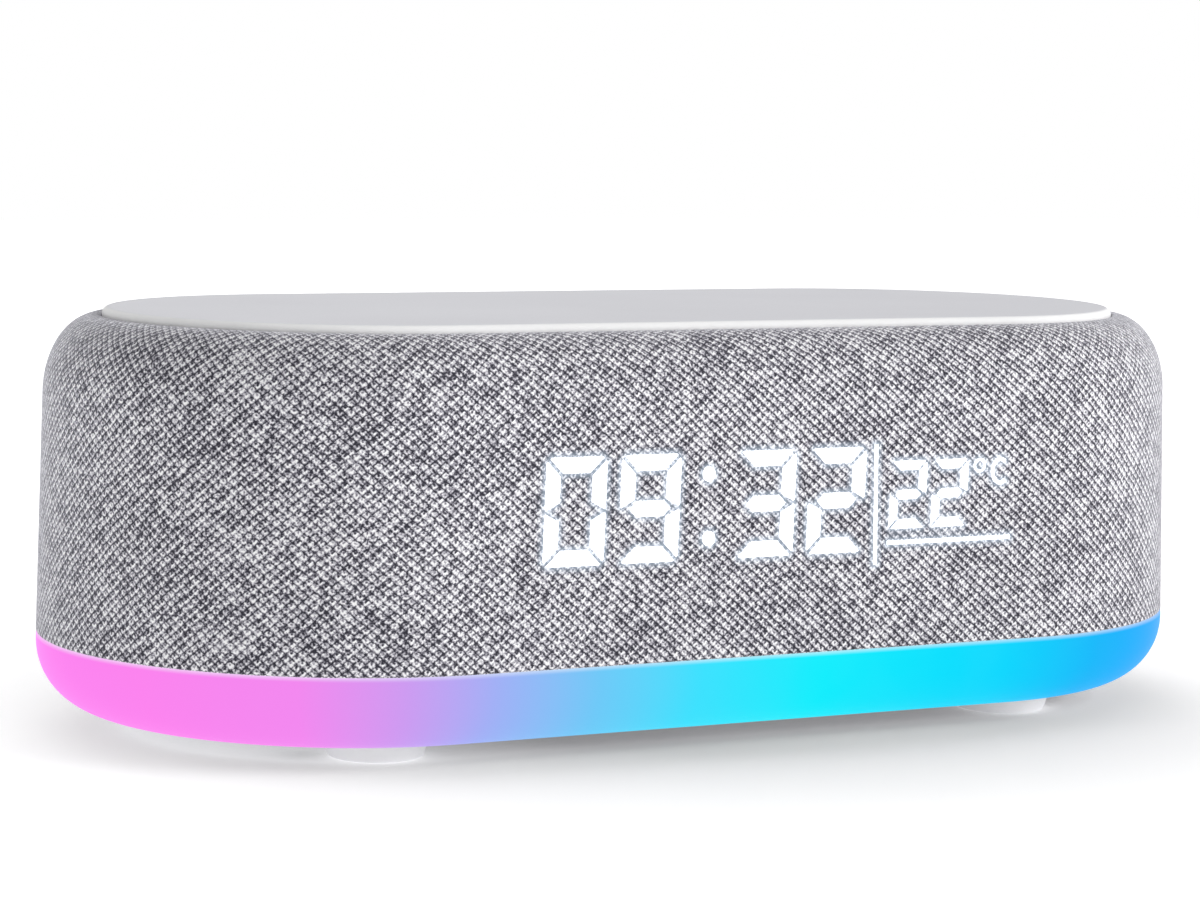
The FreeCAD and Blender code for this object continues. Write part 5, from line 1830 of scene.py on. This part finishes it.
@dataclass
class Studio:
    """White floor, soft light and the photograph's camera. Image numbers are for 1200 x 900."""
    image_width: float = 1200.0
    image_height: float = 900.0
    focal_pixels: float = 3640.155
    centre_x: float = 642.174
    centre_y: float = 444.239
    sensor: float = 36.0
    place: Point3 = (-0.28958, -0.53390, 0.10408)
    yaw: float = 0.502
    pitch: float = -0.099
    roll: float = 0.02
    floor_half: float = 1.9
    table_light: float = 0.12
    open_light: float = 0.6
    shade_middle: Point3 = (0.02, 0.0, 0.0)
    shade_reach: Point2 = (0.055, 0.15)
    sky: float = 0.44
    lamps: tuple[Lamp, ...] = (Lamp("key", (1.2, -1.0, 0.7), 0.9, 16.0),
                               Lamp("fill", (-0.9, 0.3, 1.1), 0.9, 1.0),
                               Lamp("back", (0.2, 1.1, 0.8), 1.0, 4.0))

    def camera(self) -> None:
        """Make the camera and give it to the scene."""
        data = bpy.data.cameras.new("camera")
        data.sensor_fit = "HORIZONTAL"
        data.sensor_width = self.sensor
        data.lens = self.focal_pixels * self.sensor / self.image_width
        data.shift_x = (self.image_width / 2 - self.centre_x) / self.image_width
        data.shift_y = (self.centre_y - self.image_height / 2) / self.image_width
        data.clip_start = 0.01
        camera = add_object("camera", data)
        level = math.cos(self.pitch)
        ahead = Vector((math.sin(self.yaw) * level, math.cos(self.yaw) * level,
                        math.sin(self.pitch)))
        right = Vector((math.cos(self.yaw), -math.sin(self.yaw), 0.0))
        up = right.cross(ahead)
        rolled_right = right * math.cos(self.roll) + up * math.sin(self.roll)
        rolled_up = up * math.cos(self.roll) - right * math.sin(self.roll)
        turn = Matrix((rolled_right, rolled_up, -ahead)).transposed()
        camera.matrix_world = Matrix.Translation(self.place) @ turn.to_4x4()
        bpy.context.scene.camera = camera

    def floor(self) -> None:
        """Make the white floor, with its own light, weaker under the clock."""
        skin = Skin()
        half = self.floor_half
        skin.face([skin.point((x * half, y * half, 0.0))
                   for x, y in ((-1, -1), (1, -1), (1, 1), (-1, 1))])
        white = Finish(paint(250, 250, 250), paint(247, 247, 248), 0.8, 300.0, 0.00001)
        shader = white.shader("Lit table")
        away = shader.add("ShaderNodeVectorMath", operation="DISTANCE")
        away.inputs[1].default_value = self.shade_middle
        shader.join(shader.places(), away.inputs[0])
        light = shader.fade(away.outputs["Value"], *self.shade_reach, self.table_light,
                            self.open_light, "LINEAR")
        shader.join(light, shader.surface.inputs["Emission Strength"])
        shader.set(Emission_Color=WHITE, Specular_IOR_Level=0.1)
        floor = skin.make("floor", shader.material, smooth=False)

    def world(self) -> None:
        """Make the sky: plain white for the camera, weaker as a light."""
        world = bpy.data.worlds.new("sky")
        world.use_nodes = True
        nodes, links = world.node_tree.nodes, world.node_tree.links
        back = nodes["Background"]
        path = nodes.new("ShaderNodeLightPath")
        level = nodes.new("ShaderNodeMapRange")
        level.inputs["To Min"].default_value = self.sky
        level.inputs["To Max"].default_value = 1.0
        links.new(path.outputs["Is Camera Ray"], level.inputs["Value"])
        links.new(level.outputs[0], back.inputs["Strength"])
        back.inputs["Color"].default_value = WHITE
        bpy.context.scene.world = world

    def build(self) -> None:
        """Make floor, sky, lamps and camera, and keep the colours plain."""
        self.floor()
        self.world()
        for lamp in self.lamps:
            lamp.make()
        self.camera()
        settings = bpy.context.scene.view_settings
        settings.view_transform = "Standard"
        settings.look = "None"


def log_piece(piece: Piece) -> None:
    """Log a finished piece."""
    LOG.info("%s: %d faces", piece.name, len(piece.data.polygons))


def main() -> None:
    """Build and dress the sub-assemblies in order."""
    logging.basicConfig(level=logging.INFO, format="%(name)s: %(message)s")
    LOG.info("%d nodes dressed", Workings().dress())
    display, sleeve = Display(), Sleeve()
    cloth = sleeve.build(display)
    sleeve.dress(cloth)
    log_piece(cloth)
    lit = display.build(sleeve)
    display.dress(lit)
    log_piece(lit)
    keys = [Key(mark, FIRST_KEY_X + KEY_PITCH * index) for index, mark in enumerate(Mark)]
    for part in (Band(), Plate(), Feet(), BaseScrews(), *keys):
        piece = part.build()
        part.dress(piece)
        log_piece(piece)
    panel = RearPanel()
    made = panel.build()
    panel.dress(made)
    LOG.info("rear panel: %d pieces", len(made))
    Studio().build()


if __name__ == "__main__":
    main()
